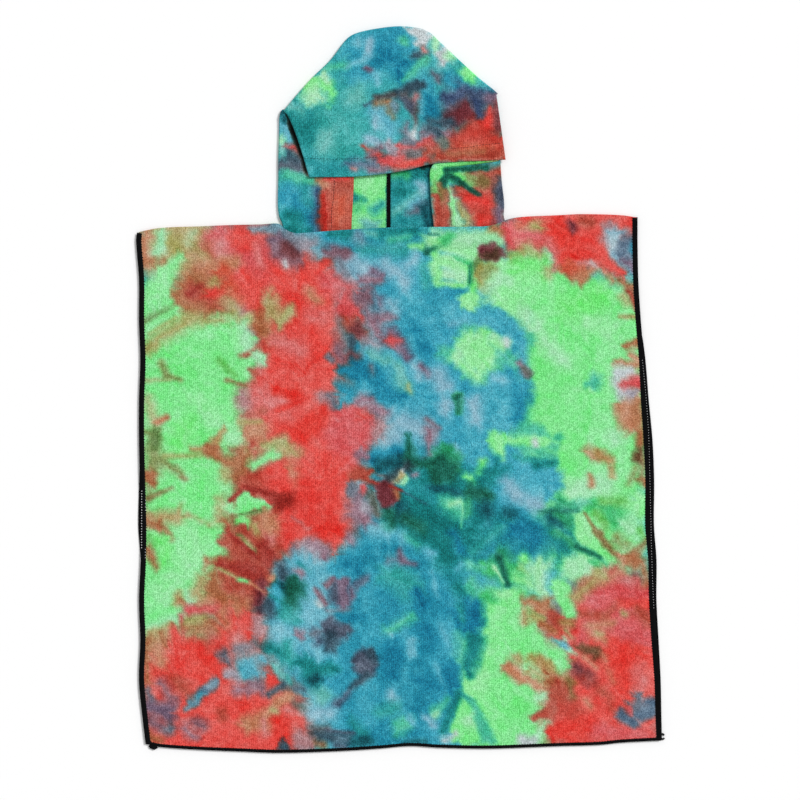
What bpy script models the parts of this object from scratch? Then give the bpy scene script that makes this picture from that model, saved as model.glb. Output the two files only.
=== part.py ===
"""Hooded bath poncho for a child, laid flat on its back with the hood spread above the shoulders.

Metres, +Z up. The surface it lies on is z = 0, +Y runs from the hem to the crown of the hood, and
the origin is the middle of the whole outline. The tables below are in millimetres.
"""

import math

import bmesh
import bpy

MM = 0.001

# Thicknesses and gaps
CLOTH = 1.6                 # one layer of towelling
SEAM_GAP = 0.3              # clear space between two separate pieces
HEM_THICKNESS = 2.9         # the towelling turned in round the face opening
HEM_WIDTH = 20.0
HEM_RAMP = 6.0              # the cloth thickens over this width at the hem's stitching
HEM_RAISED = 0.7            # share of a cheek hem's extra thickness that stands up

# Heights of the upper face of each layer above the surface
BACK_LAYER_TOP = CLOTH
CHEEK_TOP = 4.0             # the hood's sides, folded round on to its back layer
CROWN_FOLD_TOP = 5.8        # the hood's front layer next to the fold over the crown
CROWN_SIDE_TOP = 7.8        # the hood's front layer where it lies on the pleats
BRIM_SHARE = 0.75           # how much of that rise the brim keeps between the cheeks
BRIM_RISE_LENGTH = 45.0
BRIM_FLAT_LENGTH = 27.0
CROWN_LEFT_RAMP = (-62.0, 34.0)    # x where the left rise ends, and the width that it takes
CROWN_RIGHT_RAMP = (48.0, 30.0)
CROWN_DOWN_RAMP = (405.0, 75.0)    # y where the rise starts below the fold, and its length
PLEAT_FUSE = 3.4            # the pleats' hidden layers reach down to here, inside the cheeks
PLEAT_EDGE_UNDER = 4.4      # underside of a pleat's open edge, just clear of the cheek
PLEAT_EDGE = 3.0            # width of that edge
PLEAT_HEAD = 17.0           # radius within which a pleat's layers run together

# The two body panels. Peek is how far the back panel shows beyond the front one.
SIDE_EDGES = (
    # y, left x, right x, left peek, right peek
    (208, -315, 286, 0.0, 0.0),
    (188, -315, 286, 0.0, 0.0),
    (179, -316, 286, 0.0, 0.0),
    (131, -312.5, 287, 0.0, 0.0),
    (83, -312.5, 290, 0.0, 0.0),
    (35, -311, 295, 0.0, 1.5),
    (-13, -312.5, 298.5, 0.0, 3.0),
    (-61, -312.5, 303, 0.0, 4.5),
    (-109, -312.5, 305.5, 1.0, 4.5),
    (-163, -313.5, 306, 3.5, 4.5),
    (-205, -311, 309, 0.5, 4.0),
    (-253, -312.5, 309, 0.0, 3.0),
    (-301, -311, 311.5, 0.0, 2.5),
    (-349, -312.5, 314, 0.0, 1.5),
    (-397, -308, 315, 0.0, 1.0),
    (-430, -304, 316, 0.0, 0.5),
)
TOP_EDGE = (
    # x, y: left shoulder, neckline, right shoulder
    (-316, 187),
    (-311, 189.5),
    (-287, 194),
    (-239, 196),
    (-203, 197.5),
    (-167, 198.3),
    (-149, 199.2),
    (-143, 198),
    (-137.5, 192.8),
    (-131, 189),
    (-122, 187.4),
    (-82, 190.4),
    (-59, 192),
    (-12, 194.4),
    (42, 195),
    (85, 195.2),
    (109, 196.4),
    (119, 199.4),
    (128, 203.4),
    (145, 207),
    (193, 209.4),
    (217, 210.6),
    (265, 209.4),
    (286, 206.5),
)
HEM_EDGE = (
    # x, y
    (-305, -425),
    (-288, -429),
    (-240, -432.5),
    (-192, -434.5),
    (-144, -436.2),
    (-72, -434),
    (-24, -431),
    (13, -428),
    (49, -430),
    (109, -431),
    (193, -428),
    (241, -426.5),
    (265, -424),
    (301, -422),
    (316, -421.5),
)
BACK_INSET = 1.0            # the back panel stays this far inside the front one where it is hidden
PANEL_COLUMN = 18.0         # widest step across the front panel
PANEL_ROW = 22.0            # widest step down the front panel
NECK_ROWS = (0, 4, 9, 15, 22, 31)  # closer rows below the top edge, down from it
EDGE_BLEND = 40.0           # the columns turn from the top edge's places to even ones over this
BACK_SIDE_ROWS = (-420, -330, -250, -205, -163, -109, 35, 131, 179, 186)  # y
BACK_HEM_COLUMNS = (-302, -144, 13, 193, 310)  # x
BACK_LEFT_SHOULDER = (-310, -287, -149)
BACK_RIGHT_SHOULDER = (134, 217, 281)
NOTCH_CLEAR = 0.5           # round the foot of the hood, where the panel is cut out for it
NOTCH_LEFT_TOP = 197.4      # y of the notch's two upper corners
NOTCH_RIGHT_TOP = 201.5

# Soft lifts of the front panel off the back one
LIFTS = (
    # x, y, half width, half length, height
    (-150, 60, 110, 90, 1.2),
    (90, 110, 130, 70, 1.6),
    (-60, -120, 150, 60, 1.4),
    (170, -190, 90, 130, 1.8),
    (-170, -300, 90, 80, 1.5),
    (40, -330, 120, 70, 1.0),
)

# Where the neckline climbs on to the hood's sewn edge
NECK_LEFT = -148.0
NECK_RIGHT = 130.0
NECK_LOW = 181.0
NECK_RAMP = 16.0
NECK_RISE = 3.6
OPENING_LEFT = -57.0        # between the cheeks the neckline sinks back on to the hood's back layer
OPENING_RIGHT = 40.0
NECK_SINK = 1.3

# The hood
HOOD_FOOT = 184.0           # y of its sewn edge, hidden under the front panel
HOOD_SIDES = (
    # y, left x, right x: the folds down the sides
    (184, -139.5, 126.5),
    (194, -140, 127.5),
    (201, -141.5, 127.5),
    (208, -144.5, 125.5),
    (223, -146, 126),
    (251, -145.5, 123),
    (273, -145.5, 121.5),
    (311, -144.5, 119.5),
    (328, -144, 118.5),
    (335, -141.5, 118),
    (352, -130, 117),
)
CROWN_OUTLINE = (
    # x, y: from the left pleat's head over the crown to the right pleat's head
    (-139, 334.5),
    (-125, 351.5),
    (-105, 374),
    (-83, 395.5),
    (-66.5, 417),
    (-59, 424.3),
    (-47, 429.3),
    (-23, 434),
    (1, 436.2),
    (25, 433.6),
    (37, 428.2),
    (49, 417),
    (72, 395.5),
    (95.5, 374),
    (113, 360),
    (118, 355.5),
)
BRIM_EDGE = (
    # x, y: the folded-down front edge, left corner to right corner
    (-107.5, 255.5),
    (-59, 256),
    (-23, 259),
    (9, 264),
    (37, 271),
    (69, 274),
    (97, 275),
    (126.4, 276.5),
)
LEFT_PLEAT = ((-139, 334), (-58.6, 294), (-107.5, 256))
RIGHT_PLEAT = ((118, 356), (38, 273), (126.4, 277))
LEFT_FACE_EDGE = (
    # y, x: the free edge of the left cheek, then the hidden crease up to the pleat's head
    (184, -58.6),
    (294, -58.6),
    (305, -81.5),
    (316, -104),
    (327, -126.5),
    (336, -127),
)
RIGHT_FACE_EDGE = (
    # y, x
    (184, 43),
    (195.5, 42.2),
    (231, 38.4),
    (262, 37.8),
    (271, 42),
    (300, 64),
    (320, 83.5),
    (340, 102),
    (352, 104),
)
CHEEK_ROWS_LEFT = (184, 194, 201, 208, 216, 230, 251, 273, 294, 305, 316, 327, 332, 336)
CHEEK_ROWS_RIGHT = (184, 194, 201, 208, 216, 231, 247, 262, 271, 285, 300, 320, 340, 352)
PLEAT_LIP = (
    # x, upper y, lower y: the right pleat's hemmed edge, showing below the brim
    (42, 276, 270),
    (50, 281, 267.5),
    (62, 283, 267.5),
    (85, 284, 269.5),
    (105, 285, 272),
    (119, 286, 274),
)
LIP_TOP = 5.7
BEND_STEPS = 6              # facets round each fold
ROOT_DEPTH = 7.0            # how far a fold's lower leg runs on into the back layer
ROOT_TAPER = 0.2
CHEEK_SLACK = 0.05          # the folds are this much thinner than the back layer they run into
CROWN_SLACK = 0.08
PLATE_INSET = 4.4
PINCH = 0.3                 # half the slit left in a fold where a pleat starts
EDGE_ROUND = 1.0            # roundness of the folded and hemmed free edges
UNDER_ROUND = 0.6           # the same on their underside
LEFT_EDGE_BOW = 3.2         # the crown layer's left edge curves in by this
BOW_SECTIONS = 4
BOW_SKEW = 0.6              # below 1 the bow is fullest near the pleat's head
CHEEK_STEPS = 6
CROWN_SECTIONS = 34
CROWN_STEPS = 14
PLATE_CROWN_POINTS = 30
PLATE_LEFT_ROWS = (HOOD_FOOT, 208, 251, 326)  # y
PLATE_RIGHT_ROWS = (HOOD_FOOT, 208, 251, 344)
PLATE_STEP = 22.0
LIP_STEP = 12.0

# The overlocked seam down the middle of the hood's back
SEAM_WIDTH = 5.0
SEAM_HEIGHT = 1.8
SEAM_LINE = ((-13.0, 186), (-12.8, 260), (-11, 330), (-8, 405))  # x, y
SEAM_SECTIONS = 12
SEAM_PROFILE = ((-1, 0.4), (-0.6, 1), (0.6, 1), (1, 0.4))  # share of half the width, share of the height


def smooth_step(amount):
    """0 below 0, 1 above 1, and an even curve between them."""
    held = min(max(amount, 0.0), 1.0)
    return held * held * (3.0 - 2.0 * held)


def slopes(places, values):
    """The slope of a smooth curve at each of its points."""
    count = len(places)
    found = []
    for i in range(count):
        before = max(i - 1, 0)
        after = min(i + 1, count - 1)
        found.append((values[after] - values[before]) / (places[after] - places[before]))
    return found


def curve(table, column, place):
    """One column of a table at a place in its first column, on a smooth curve through its rows."""
    rows = sorted(table)
    places = [row[0] for row in rows]
    values = [row[column] for row in rows]
    if place <= places[0]:
        return values[0]
    if place >= places[-1]:
        return values[-1]
    steep = slopes(places, values)
    i = max(k for k in range(len(places) - 1) if places[k] <= place)
    span = places[i + 1] - places[i]
    t = (place - places[i]) / span
    start = (2 * t ** 3 - 3 * t ** 2 + 1) * values[i] + (t ** 3 - 2 * t ** 2 + t) * span * steep[i]
    end = (3 * t ** 2 - 2 * t ** 3) * values[i + 1] + (t ** 3 - t ** 2) * span * steep[i + 1]
    return start + end


def spread(places, step):
    """The places, with even ones added between them so that no step is wider than the given one."""
    filled = [places[0]]
    for low, high in zip(places, places[1:]):
        parts = max(1, math.ceil((high - low) / step))
        filled += [low + (high - low) * k / parts for k in range(1, parts + 1)]
    return filled


def path_points(points, count):
    """Points spaced evenly along a smooth line through the given ones."""
    lengths = [0.0]
    for a, b in zip(points, points[1:]):
        lengths.append(lengths[-1] + math.dist(a, b))
    table = [(s, p[0], p[1]) for s, p in zip(lengths, points)]
    places = [lengths[-1] * k / (count - 1) for k in range(count)]
    return [(curve(table, 1, s), curve(table, 2, s)) for s in places]


def inside(point, triangle):
    """How far a point lies inside a triangle, as its least distance from the sides."""
    total = []
    for a, b in zip(triangle, triangle[1:] + triangle[:1]):
        length = math.dist(a, b)
        total.append(((b[0] - a[0]) * (point[1] - a[1]) - (b[1] - a[1]) * (point[0] - a[0])) / length)
    turned = (triangle[1][0] - triangle[0][0]) * (triangle[2][1] - triangle[0][1])
    turned -= (triangle[1][1] - triangle[0][1]) * (triangle[2][0] - triangle[0][0])
    return min(total) if turned > 0 else -max(total)


def material(name, colour, roughness):
    """A plain material of one colour."""
    made = bpy.data.materials.new(name)
    made.use_nodes = True
    shader = made.node_tree.nodes["Principled BSDF"]
    shader.inputs["Base Color"].default_value = (*colour, 1.0)
    shader.inputs["Roughness"].default_value = roughness
    shader.inputs["Metallic"].default_value = 0.0
    return made


def add_object(name, shape, finish):
    """A named object from a bmesh, with outward faces and its material."""
    bmesh.ops.recalc_face_normals(shape, faces=shape.faces)
    mesh = bpy.data.meshes.new(name)
    shape.to_mesh(mesh)
    shape.free()
    mesh.materials.append(finish)
    made = bpy.data.objects.new(name, mesh)
    bpy.context.collection.objects.link(made)
    return made


def wall(name, outer, inner, finish):
    """A closed wall between two grids of points in millimetres, with a rim round all four sides."""
    shape = bmesh.new()
    rows = len(outer)
    columns = len(outer[0])
    sides = []
    for grid in (outer, inner):
        side = [[shape.verts.new((x * MM, y * MM, z * MM)) for x, y, z in row] for row in grid]
        for i in range(rows - 1):
            for j in range(columns - 1):
                shape.faces.new((side[i][j], side[i + 1][j], side[i + 1][j + 1], side[i][j + 1]))
        sides.append(side)
    rim = [(0, j) for j in range(columns)]
    rim += [(i, columns - 1) for i in range(1, rows)]
    rim += [(rows - 1, j) for j in range(columns - 2, -1, -1)]
    rim += [(i, 0) for i in range(rows - 2, 0, -1)]
    for (a, b), (c, d) in zip(rim, rim[1:] + rim[:1]):
        shape.faces.new((sides[0][a][b], sides[0][c][d], sides[1][c][d], sides[1][a][b]))
    return add_object(name, shape, finish)


def plate(name, outline, low, high, finish):
    """A flat plate from its outline in millimetres, between two heights."""
    shape = bmesh.new()
    bottom = [shape.verts.new((x * MM, y * MM, low * MM)) for x, y in outline]
    top = [shape.verts.new((x * MM, y * MM, high * MM)) for x, y in outline]
    shape.faces.new(bottom)
    shape.faces.new(top)
    for i in range(len(outline)):
        j = (i + 1) % len(outline)
        shape.faces.new((bottom[i], bottom[j], top[j], top[i]))
    return add_object(name, shape, finish)


def unite(base, parts):
    """Join closed shapes into one body."""
    for part in parts:
        part.hide_render = True
        part.display_type = "WIRE"
        joined = base.modifiers.new(part.name, "BOOLEAN")
        joined.operation = "UNION"
        joined.object = part


def front_left(y):
    """x of the front panel's left edge."""
    return curve(SIDE_EDGES, 1, y) + curve(SIDE_EDGES, 3, y)


def front_right(y):
    """x of the front panel's right edge."""
    return curve(SIDE_EDGES, 2, y) - curve(SIDE_EDGES, 4, y)


def neck_rise(x, y):
    """How far the front panel climbs to lie on the hood's sewn edge."""
    across = smooth_step((x - NECK_LEFT) / NECK_RAMP + 1) * smooth_step((NECK_RIGHT - x) / NECK_RAMP + 1)
    opening = smooth_step((x - OPENING_LEFT) / NECK_RAMP) * smooth_step((OPENING_RIGHT - x) / NECK_RAMP)
    rise = NECK_RISE * across - NECK_SINK * opening
    return rise * smooth_step((y - NECK_LOW) / NECK_RAMP + 1)


def lift(x, y):
    """How far the front panel stands off the back one where the cloth is not pressed flat."""
    total = 0.0
    for centre_x, centre_y, half_width, half_length, height in LIFTS:
        away = math.hypot((x - centre_x) / half_width, (y - centre_y) / half_length)
        total += height * smooth_step(1.0 - away)
    return total


def build_front_panel(finish):
    """The front panel, laid on the back one, its neckline over the foot of the hood."""
    top_xs = spread([x for x, y in TOP_EDGE], PANEL_COLUMN)
    left_end = top_xs[0]
    width = top_xs[-1] - left_end
    hem_x0 = HEM_EDGE[0][0]
    hem_width = HEM_EDGE[-1][0] - hem_x0
    length = TOP_EDGE[0][1] - HEM_EDGE[0][1]
    downs = spread(NECK_ROWS + (length,), PANEL_ROW)
    upper = []
    lower = []
    for down in downs:
        row_up = []
        row_low = []
        for top_x in top_xs:
            share = (top_x - left_end) / width
            top_y = curve(TOP_EDGE, 1, top_x)
            hem_y = curve(HEM_EDGE, 1, hem_x0 + hem_width * share)
            y = top_y + (hem_y - top_y) * down / length
            sides = front_left(y) + (front_right(y) - front_left(y)) * share
            blend = smooth_step(down / EDGE_BLEND)
            x = top_x + (sides - top_x) * blend
            under = BACK_LAYER_TOP + SEAM_GAP + lift(x, y) + neck_rise(x, y)
            row_low.append((x, y, under))
            row_up.append((x, y, under + CLOTH))
        upper.append(row_up)
        lower.append(row_low)
    return wall("front_panel", upper, lower, finish)


def hood_side(y, side):
    """x of the hood's folded side, left is -1 and right is 1."""
    return curve(HOOD_SIDES, 1 if side < 0 else 2, y)


def build_back_panel(finish):
    """The back panel, flat on the surface, cut out round the foot of the hood."""
    left = []
    right = []
    for y in spread(BACK_SIDE_ROWS, PANEL_ROW):
        hidden_left = BACK_INSET * (1 - smooth_step(curve(SIDE_EDGES, 3, y) / BACK_INSET))
        hidden_right = BACK_INSET * (1 - smooth_step(curve(SIDE_EDGES, 4, y) / BACK_INSET))
        left.append((curve(SIDE_EDGES, 1, y) + hidden_left, y))
        right.append((curve(SIDE_EDGES, 2, y) - hidden_right, y))
    hem = [(x, curve(HEM_EDGE, 1, x) + BACK_INSET) for x in spread(BACK_HEM_COLUMNS, PANEL_COLUMN)]
    shoulders = []
    for columns in (BACK_LEFT_SHOULDER, BACK_RIGHT_SHOULDER):
        shoulders.append([(x, curve(TOP_EDGE, 1, x) - BACK_INSET) for x in spread(columns, PANEL_COLUMN)])
    foot = HOOD_FOOT - NOTCH_CLEAR
    notch = [
        (hood_side(NOTCH_LEFT_TOP, -1) - NOTCH_CLEAR, NOTCH_LEFT_TOP),
        (hood_side(HOOD_FOOT, -1) - NOTCH_CLEAR, foot),
        (hood_side(HOOD_FOOT, 1) + NOTCH_CLEAR, foot),
        (hood_side(NOTCH_RIGHT_TOP, 1) + NOTCH_CLEAR, NOTCH_RIGHT_TOP),
    ]
    outline = left + shoulders[0] + notch + shoulders[1] + right[::-1] + hem[::-1]
    return plate("back_panel", outline, 0.0, CLOTH, finish)


def folded_section(foot, inward, edge, tops, unders, slack, pinched=False):
    """One section of a leaf of cloth that is folded over from the back layer.

    foot is the outermost point of the fold, inward the direction into the hood, edge the leaf's
    free end, and tops and unders the leaf's two heights from the fold to that end. A pinched
    section has no hollow in its fold."""
    reach = (tops[0] - slack) / 2
    hollow = PINCH if pinched else reach - CLOTH + 2 * slack
    centre_z = slack + reach
    centre = (foot[0] + inward[0] * reach, foot[1] + inward[1] * reach)
    outer = []
    inner = []
    root = (centre[0] + inward[0] * ROOT_DEPTH, centre[1] + inward[1] * ROOT_DEPTH)
    outer.append((*root, slack + ROOT_TAPER))
    inner.append((*root, CLOTH - slack - ROOT_TAPER))
    for k in range(BEND_STEPS + 1):
        turn = -math.pi / 2 + math.pi * k / BEND_STEPS
        for side, size in ((outer, reach), (inner, hollow)):
            x = centre[0] - inward[0] * size * math.cos(turn)
            y = centre[1] - inward[1] * size * math.cos(turn)
            side.append((x, y, centre_z + size * math.sin(turn)))
    for k in range(1, len(tops)):
        part = k / (len(tops) - 1)
        x = centre[0] + (edge[0] - centre[0]) * part
        y = centre[1] + (edge[1] - centre[1]) * part
        outer.append((x, y, tops[k]))
        inner.append((x, y, unders[k]))
    length = math.dist(centre, edge)
    x = edge[0] + (edge[0] - centre[0]) / length * EDGE_ROUND
    y = edge[1] + (edge[1] - centre[1]) / length * EDGE_ROUND
    outer.append((x, y, tops[-1] - EDGE_ROUND))
    inner.append((x, y, unders[-1] + UNDER_ROUND))
    return outer, inner


def build_cheek(name, side, rows, face_edge, finish):
    """A side of the hood, folded round on to its back layer and hemmed at the face opening."""
    shares = [k / CHEEK_STEPS for k in range(CHEEK_STEPS + 1)]
    extra = HEM_THICKNESS - CLOTH
    outers = []
    inners = []
    for y in rows:
        foot = (hood_side(y, side), y)
        edge = (curve(face_edge, 1, y), y)
        width = abs(edge[0] - foot[0])
        tops = []
        unders = []
        for share in shares:
            hem = smooth_step(1 - ((1 - share) * width - HEM_WIDTH) / HEM_RAMP)
            tops.append(CHEEK_TOP + hem * extra * HEM_RAISED)
            unders.append(CHEEK_TOP - CLOTH - hem * extra * (1 - HEM_RAISED))
        outer, inner = folded_section(foot, (-side, 0.0), edge, tops, unders, CHEEK_SLACK)
        outers.append(outer)
        inners.append(inner)
    return wall(name, outers, inners, finish)


def crown_top(x, y, to_brim):
    """Height of the hood's front layer: raised over the pleats and at its hem, lower between."""
    over_left = smooth_step((CROWN_LEFT_RAMP[0] - x) / CROWN_LEFT_RAMP[1] + 1)
    over_right = smooth_step((x - CROWN_RIGHT_RAMP[0]) / CROWN_RIGHT_RAMP[1] + 1)
    down = smooth_step((CROWN_DOWN_RAMP[0] - y) / CROWN_DOWN_RAMP[1])
    at_hem = BRIM_SHARE * smooth_step(1 - (to_brim - BRIM_FLAT_LENGTH) / BRIM_RISE_LENGTH)
    share = max(over_left * down, over_right * down, at_hem)
    return CROWN_FOLD_TOP + (CROWN_SIDE_TOP - CROWN_FOLD_TOP) * share


def crown_under(x, y, top, to_brim):
    """Underside of the hood's front layer: thicker at its hem, and fused to the hidden pleats."""
    hem = smooth_step(1 - (to_brim - HEM_WIDTH) / HEM_RAMP)
    under = top - CLOTH - hem * (HEM_THICKNESS - CLOTH)
    depth = max(inside((x, y), LEFT_PLEAT), inside((x, y), RIGHT_PLEAT))
    to_head = min(math.dist((x, y), LEFT_PLEAT[0]), math.dist((x, y), RIGHT_PLEAT[0]))
    if depth > PLEAT_EDGE or to_head < PLEAT_HEAD:
        return PLEAT_FUSE
    return under


def bowed(section, bow):
    """A section of the crown layer with its leaf curved to the right between its two ends."""
    leaf = len(section) - BEND_STEPS - 2
    moved = []
    for k, (x, y, z) in enumerate(section):
        part = max(0.0, (k - BEND_STEPS - 1) / leaf)
        moved.append((x + bow * math.sin(math.pi * part ** BOW_SKEW), y, z))
    return moved


def rounded_side(section, out, sink):
    """One more section past a side of the crown layer, which rounds the side off."""
    fold = [(x + PINCH * out, y, z) for x, y, z in section[:BEND_STEPS + 1]]
    leaf = [(x + out, y, z + sink) for x, y, z in section[BEND_STEPS + 1:]]
    return fold + leaf


def build_crown(finish):
    """The hood's front layer: folded over the crown from the back layer and down to the brim."""
    last = CROWN_SECTIONS - 1
    feet = path_points(CROWN_OUTLINE, CROWN_SECTIONS)
    edges = path_points(BRIM_EDGE, CROWN_SECTIONS)
    shares = [k / CROWN_STEPS for k in range(CROWN_STEPS + 1)]
    outers = []
    inners = []
    for i, (foot, edge) in enumerate(zip(feet, edges)):
        before = feet[max(i - 1, 0)]
        after = feet[min(i + 1, last)]
        size = math.dist(before, after)
        inward = ((after[1] - before[1]) / size, (before[0] - after[0]) / size)
        tops = []
        unders = []
        for share in shares:
            x = foot[0] + (edge[0] - foot[0]) * share
            y = foot[1] + (edge[1] - foot[1]) * share
            to_brim = math.dist((x, y), edge)
            top = crown_top(x, y, to_brim)
            under = crown_under(x, y, top, to_brim)
            if i in (0, last):
                under = min(under, PLEAT_EDGE_UNDER)
            tops.append(top)
            unders.append(under)
        outer, inner = folded_section(foot, inward, edge, tops, unders, CROWN_SLACK, i in (0, last))
        bow = LEFT_EDGE_BOW * max(0.0, 1 - i / BOW_SECTIONS)
        outers.append(bowed(outer, bow))
        inners.append(bowed(inner, bow))
    for sections, sink in ((outers, -EDGE_ROUND), (inners, UNDER_ROUND)):
        left_end = rounded_side(sections[0], -EDGE_ROUND, sink)
        right_end = rounded_side(sections[-1], EDGE_ROUND, sink)
        sections.insert(0, left_end)
        sections.append(right_end)
    return wall("crown_layer", outers, inners, finish)


def hood_plate_outline():
    """The hood's back layer, short of its folds."""
    left = [(hood_side(y, -1) + PLATE_INSET, y) for y in spread(PLATE_LEFT_ROWS, PLATE_STEP)]
    right = [(hood_side(y, 1) - PLATE_INSET, y) for y in spread(PLATE_RIGHT_ROWS, PLATE_STEP)]
    crown = []
    points = path_points(CROWN_OUTLINE, PLATE_CROWN_POINTS)
    for before, point, after in zip(points, points[1:], points[2:]):
        inset = PLATE_INSET / math.dist(before, after)
        x = point[0] + (after[1] - before[1]) * inset
        y = point[1] - (after[0] - before[0]) * inset
        crown.append((x, y))
    return left + crown + right[::-1]


def build_pleat_lip(finish):
    """The right pleat's hemmed edge, showing just below the brim."""
    outer = []
    inner = []
    for x in spread([row[0] for row in PLEAT_LIP], LIP_STEP):
        high = curve(PLEAT_LIP, 1, x)
        low = curve(PLEAT_LIP, 2, x)
        outer.append([(x, high, LIP_TOP), (x, low + EDGE_ROUND, LIP_TOP), (x, low, LIP_TOP - UNDER_ROUND)])
        inner.append([(x, high, PLEAT_FUSE), (x, low + EDGE_ROUND, PLEAT_FUSE), (x, low, PLEAT_FUSE)])
    return wall("pleat_lip", outer, inner, finish)


def build_hood(finish):
    """The hood: one piece of cloth, its back layer, cheeks and crown layer joined at the folds."""
    hood = plate("hood", hood_plate_outline(), 0.0, CLOTH, finish)
    left = build_cheek("left_cheek", -1, CHEEK_ROWS_LEFT, LEFT_FACE_EDGE, finish)
    right = build_cheek("right_cheek", 1, CHEEK_ROWS_RIGHT, RIGHT_FACE_EDGE, finish)
    unite(hood, (left, right, build_crown(finish), build_pleat_lip(finish)))
    return hood


def build_hood_seam(finish):
    """The overlocked seam allowance that stands up inside, down the middle of the hood's back."""
    low = BACK_LAYER_TOP + SEAM_GAP
    half = SEAM_WIDTH / 2
    outer = []
    inner = []
    for x, y in path_points(SEAM_LINE, SEAM_SECTIONS):
        outer.append([(x + half * across, y, low + SEAM_HEIGHT * up) for across, up in SEAM_PROFILE])
        inner.append([(x + half * across, y, low) for across, up in SEAM_PROFILE])
    return wall("hood_back_seam", outer, inner, finish)


def main():
    for thing in list(bpy.data.objects):
        bpy.data.objects.remove(thing, do_unlink=True)
    red = material("front_towelling", (0.62, 0.09, 0.07), 0.95)
    green = material("back_towelling", (0.16, 0.75, 0.22), 0.95)
    blue = material("hood_towelling", (0.02, 0.28, 0.42), 0.95)
    black = material("overlock_thread", (0.01, 0.01, 0.01), 0.8)
    build_back_panel(green)
    build_front_panel(red)
    build_hood(blue)
    build_hood_seam(black)


main()
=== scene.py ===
"""Looks of a child's hooded bath poncho: tie-dyed towelling, black overlocking and hem stitching.

The poncho lies on its back on z = 0, +Y runs from the hem to the crown of the hood. Sizes and
tables are in millimetres and are turned into metres where a mesh is made.
"""

import math

import bmesh
import bpy
import numpy as np
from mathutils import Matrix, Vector
from mathutils.bvhtree import BVHTree


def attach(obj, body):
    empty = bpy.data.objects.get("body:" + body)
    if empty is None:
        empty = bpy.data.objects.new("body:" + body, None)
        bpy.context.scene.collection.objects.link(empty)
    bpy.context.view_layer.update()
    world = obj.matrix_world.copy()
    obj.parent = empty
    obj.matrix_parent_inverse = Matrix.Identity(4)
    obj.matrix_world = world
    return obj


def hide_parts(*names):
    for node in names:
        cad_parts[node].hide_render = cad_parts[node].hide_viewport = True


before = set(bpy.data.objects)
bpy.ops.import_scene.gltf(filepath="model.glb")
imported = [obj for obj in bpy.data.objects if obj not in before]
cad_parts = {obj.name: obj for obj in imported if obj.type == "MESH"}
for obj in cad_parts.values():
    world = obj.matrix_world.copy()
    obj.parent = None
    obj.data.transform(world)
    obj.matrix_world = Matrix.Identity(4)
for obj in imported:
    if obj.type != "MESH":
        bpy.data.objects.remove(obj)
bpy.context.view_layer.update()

MM = 0.001

# Cloth
CLOTH = 1.6
SEAM_GAP = 0.3                    # between two layers pressed flat
FRONT_LEVEL = CLOTH + SEAM_GAP    # underside of the front panel where it is pressed flat
HEM_THICKNESS = 2.9
HEM_WIDTH = 20.0
HEM_RAMP = 6.0
HEM_RAISED = 0.7                  # share of a hem's extra thickness that lies above the cloth

# The two body panels
SIDE_EDGES = (
    # y, left x, right x, left peek, right peek of the back panel beyond the front one
    (208, -315, 286, 0.0, 0.0), (188, -315, 286, 0.0, 0.0), (179, -316, 286, 0.0, 0.0),
    (131, -312.5, 287, 0.0, 0.0), (83, -312.5, 290, 0.0, 0.0), (35, -311, 295.8, 0.0, 1.8),
    (-13, -312.5, 299.7, 0.0, 3.4), (-61, -312.5, 304.2, 0.0, 4.8), (-109, -312.5, 306.2, 1.0, 4.6),
    (-163, -313.5, 306, 3.5, 4.5), (-205, -311, 309, 0.5, 4.0), (-253, -312.5, 309, 0.0, 3.0),
    (-301, -311, 311.5, 0.0, 2.5), (-349, -312.5, 314, 0.0, 1.5), (-397, -308, 315, 0.0, 1.0),
    (-430, -304, 316, 0.0, 0.5),
)
TOP_EDGE = (
    # x, y: left shoulder, neckline, right shoulder
    (-316, 187), (-311, 189.5), (-287, 194), (-239, 196), (-203, 197.5), (-167, 198.3),
    (-149, 199.2), (-143, 198), (-137.5, 192.8), (-131, 189), (-122, 187.4), (-82, 190.4),
    (-59, 192), (-12, 194.4), (42, 195), (85, 195.2), (109, 196.4), (119, 199.4), (128, 203.4),
    (145, 207), (193, 209.4), (217, 210.6), (265, 209.4), (286, 206.5),
)
HEM_EDGE = (
    # x, y
    (-305, -425), (-288, -429), (-240, -432.5), (-192, -434.5), (-144, -436.2), (-72, -434),
    (-24, -431), (13, -428), (49, -430), (109, -431), (193, -428), (241, -426.5), (265, -424),
    (301, -422), (316, -421.5),
)
LIFTS = (
    # x, y, half width, half length, height: the front panel off the back one
    (-150, 60, 110, 90, 1.2), (90, 110, 130, 70, 1.6), (-60, -120, 150, 60, 1.4),
    (170, -190, 90, 130, 1.8), (-170, -300, 90, 80, 1.5), (40, -330, 120, 70, 1.0),
)
NECK_LEFT = -148.0
NECK_RIGHT = 130.0
NECK_LOW = 181.0
NECK_RAMP = 16.0
NECK_RISE = 3.6
OPENING_LEFT = -57.0
OPENING_RIGHT = 40.0
NECK_SINK = 1.3
EDGE_BLEND = 40.0                 # from the top edge's ends to the side edges' own lines
BACK_INSET = 1.0                  # of the back panel's hidden edges inside the front one's
NOTCH_CLEAR = 0.5
PANEL_LENGTH = TOP_EDGE[0][1] - HEM_EDGE[0][1]
FRONT_STEPS = (88, 92)            # of the front panel's underside, across and down
FINER = 3                         # steps of its top for each step of its underside
TOP_ROWS = (0.0, 0.3, 0.8, 1.6, 3.0)    # first rows below its top edge
BACK_STEPS = 130
BACK_DYE_SHIFT = -100             # down the cloth, of the front's dye turned half round for the back
PANEL_WAVES = ((0.28, 46.0, 21), (0.10, 15.0, 22), (0.05, 6.0, 23))    # height, length, seed
EDGE_WAVE = 0.3                   # of the waves along an overlocked edge
EDGE_WAVE_LENGTH = 17.0
EDGE_WAVE_REACH = 12.0            # how far they run in from the edge

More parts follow.
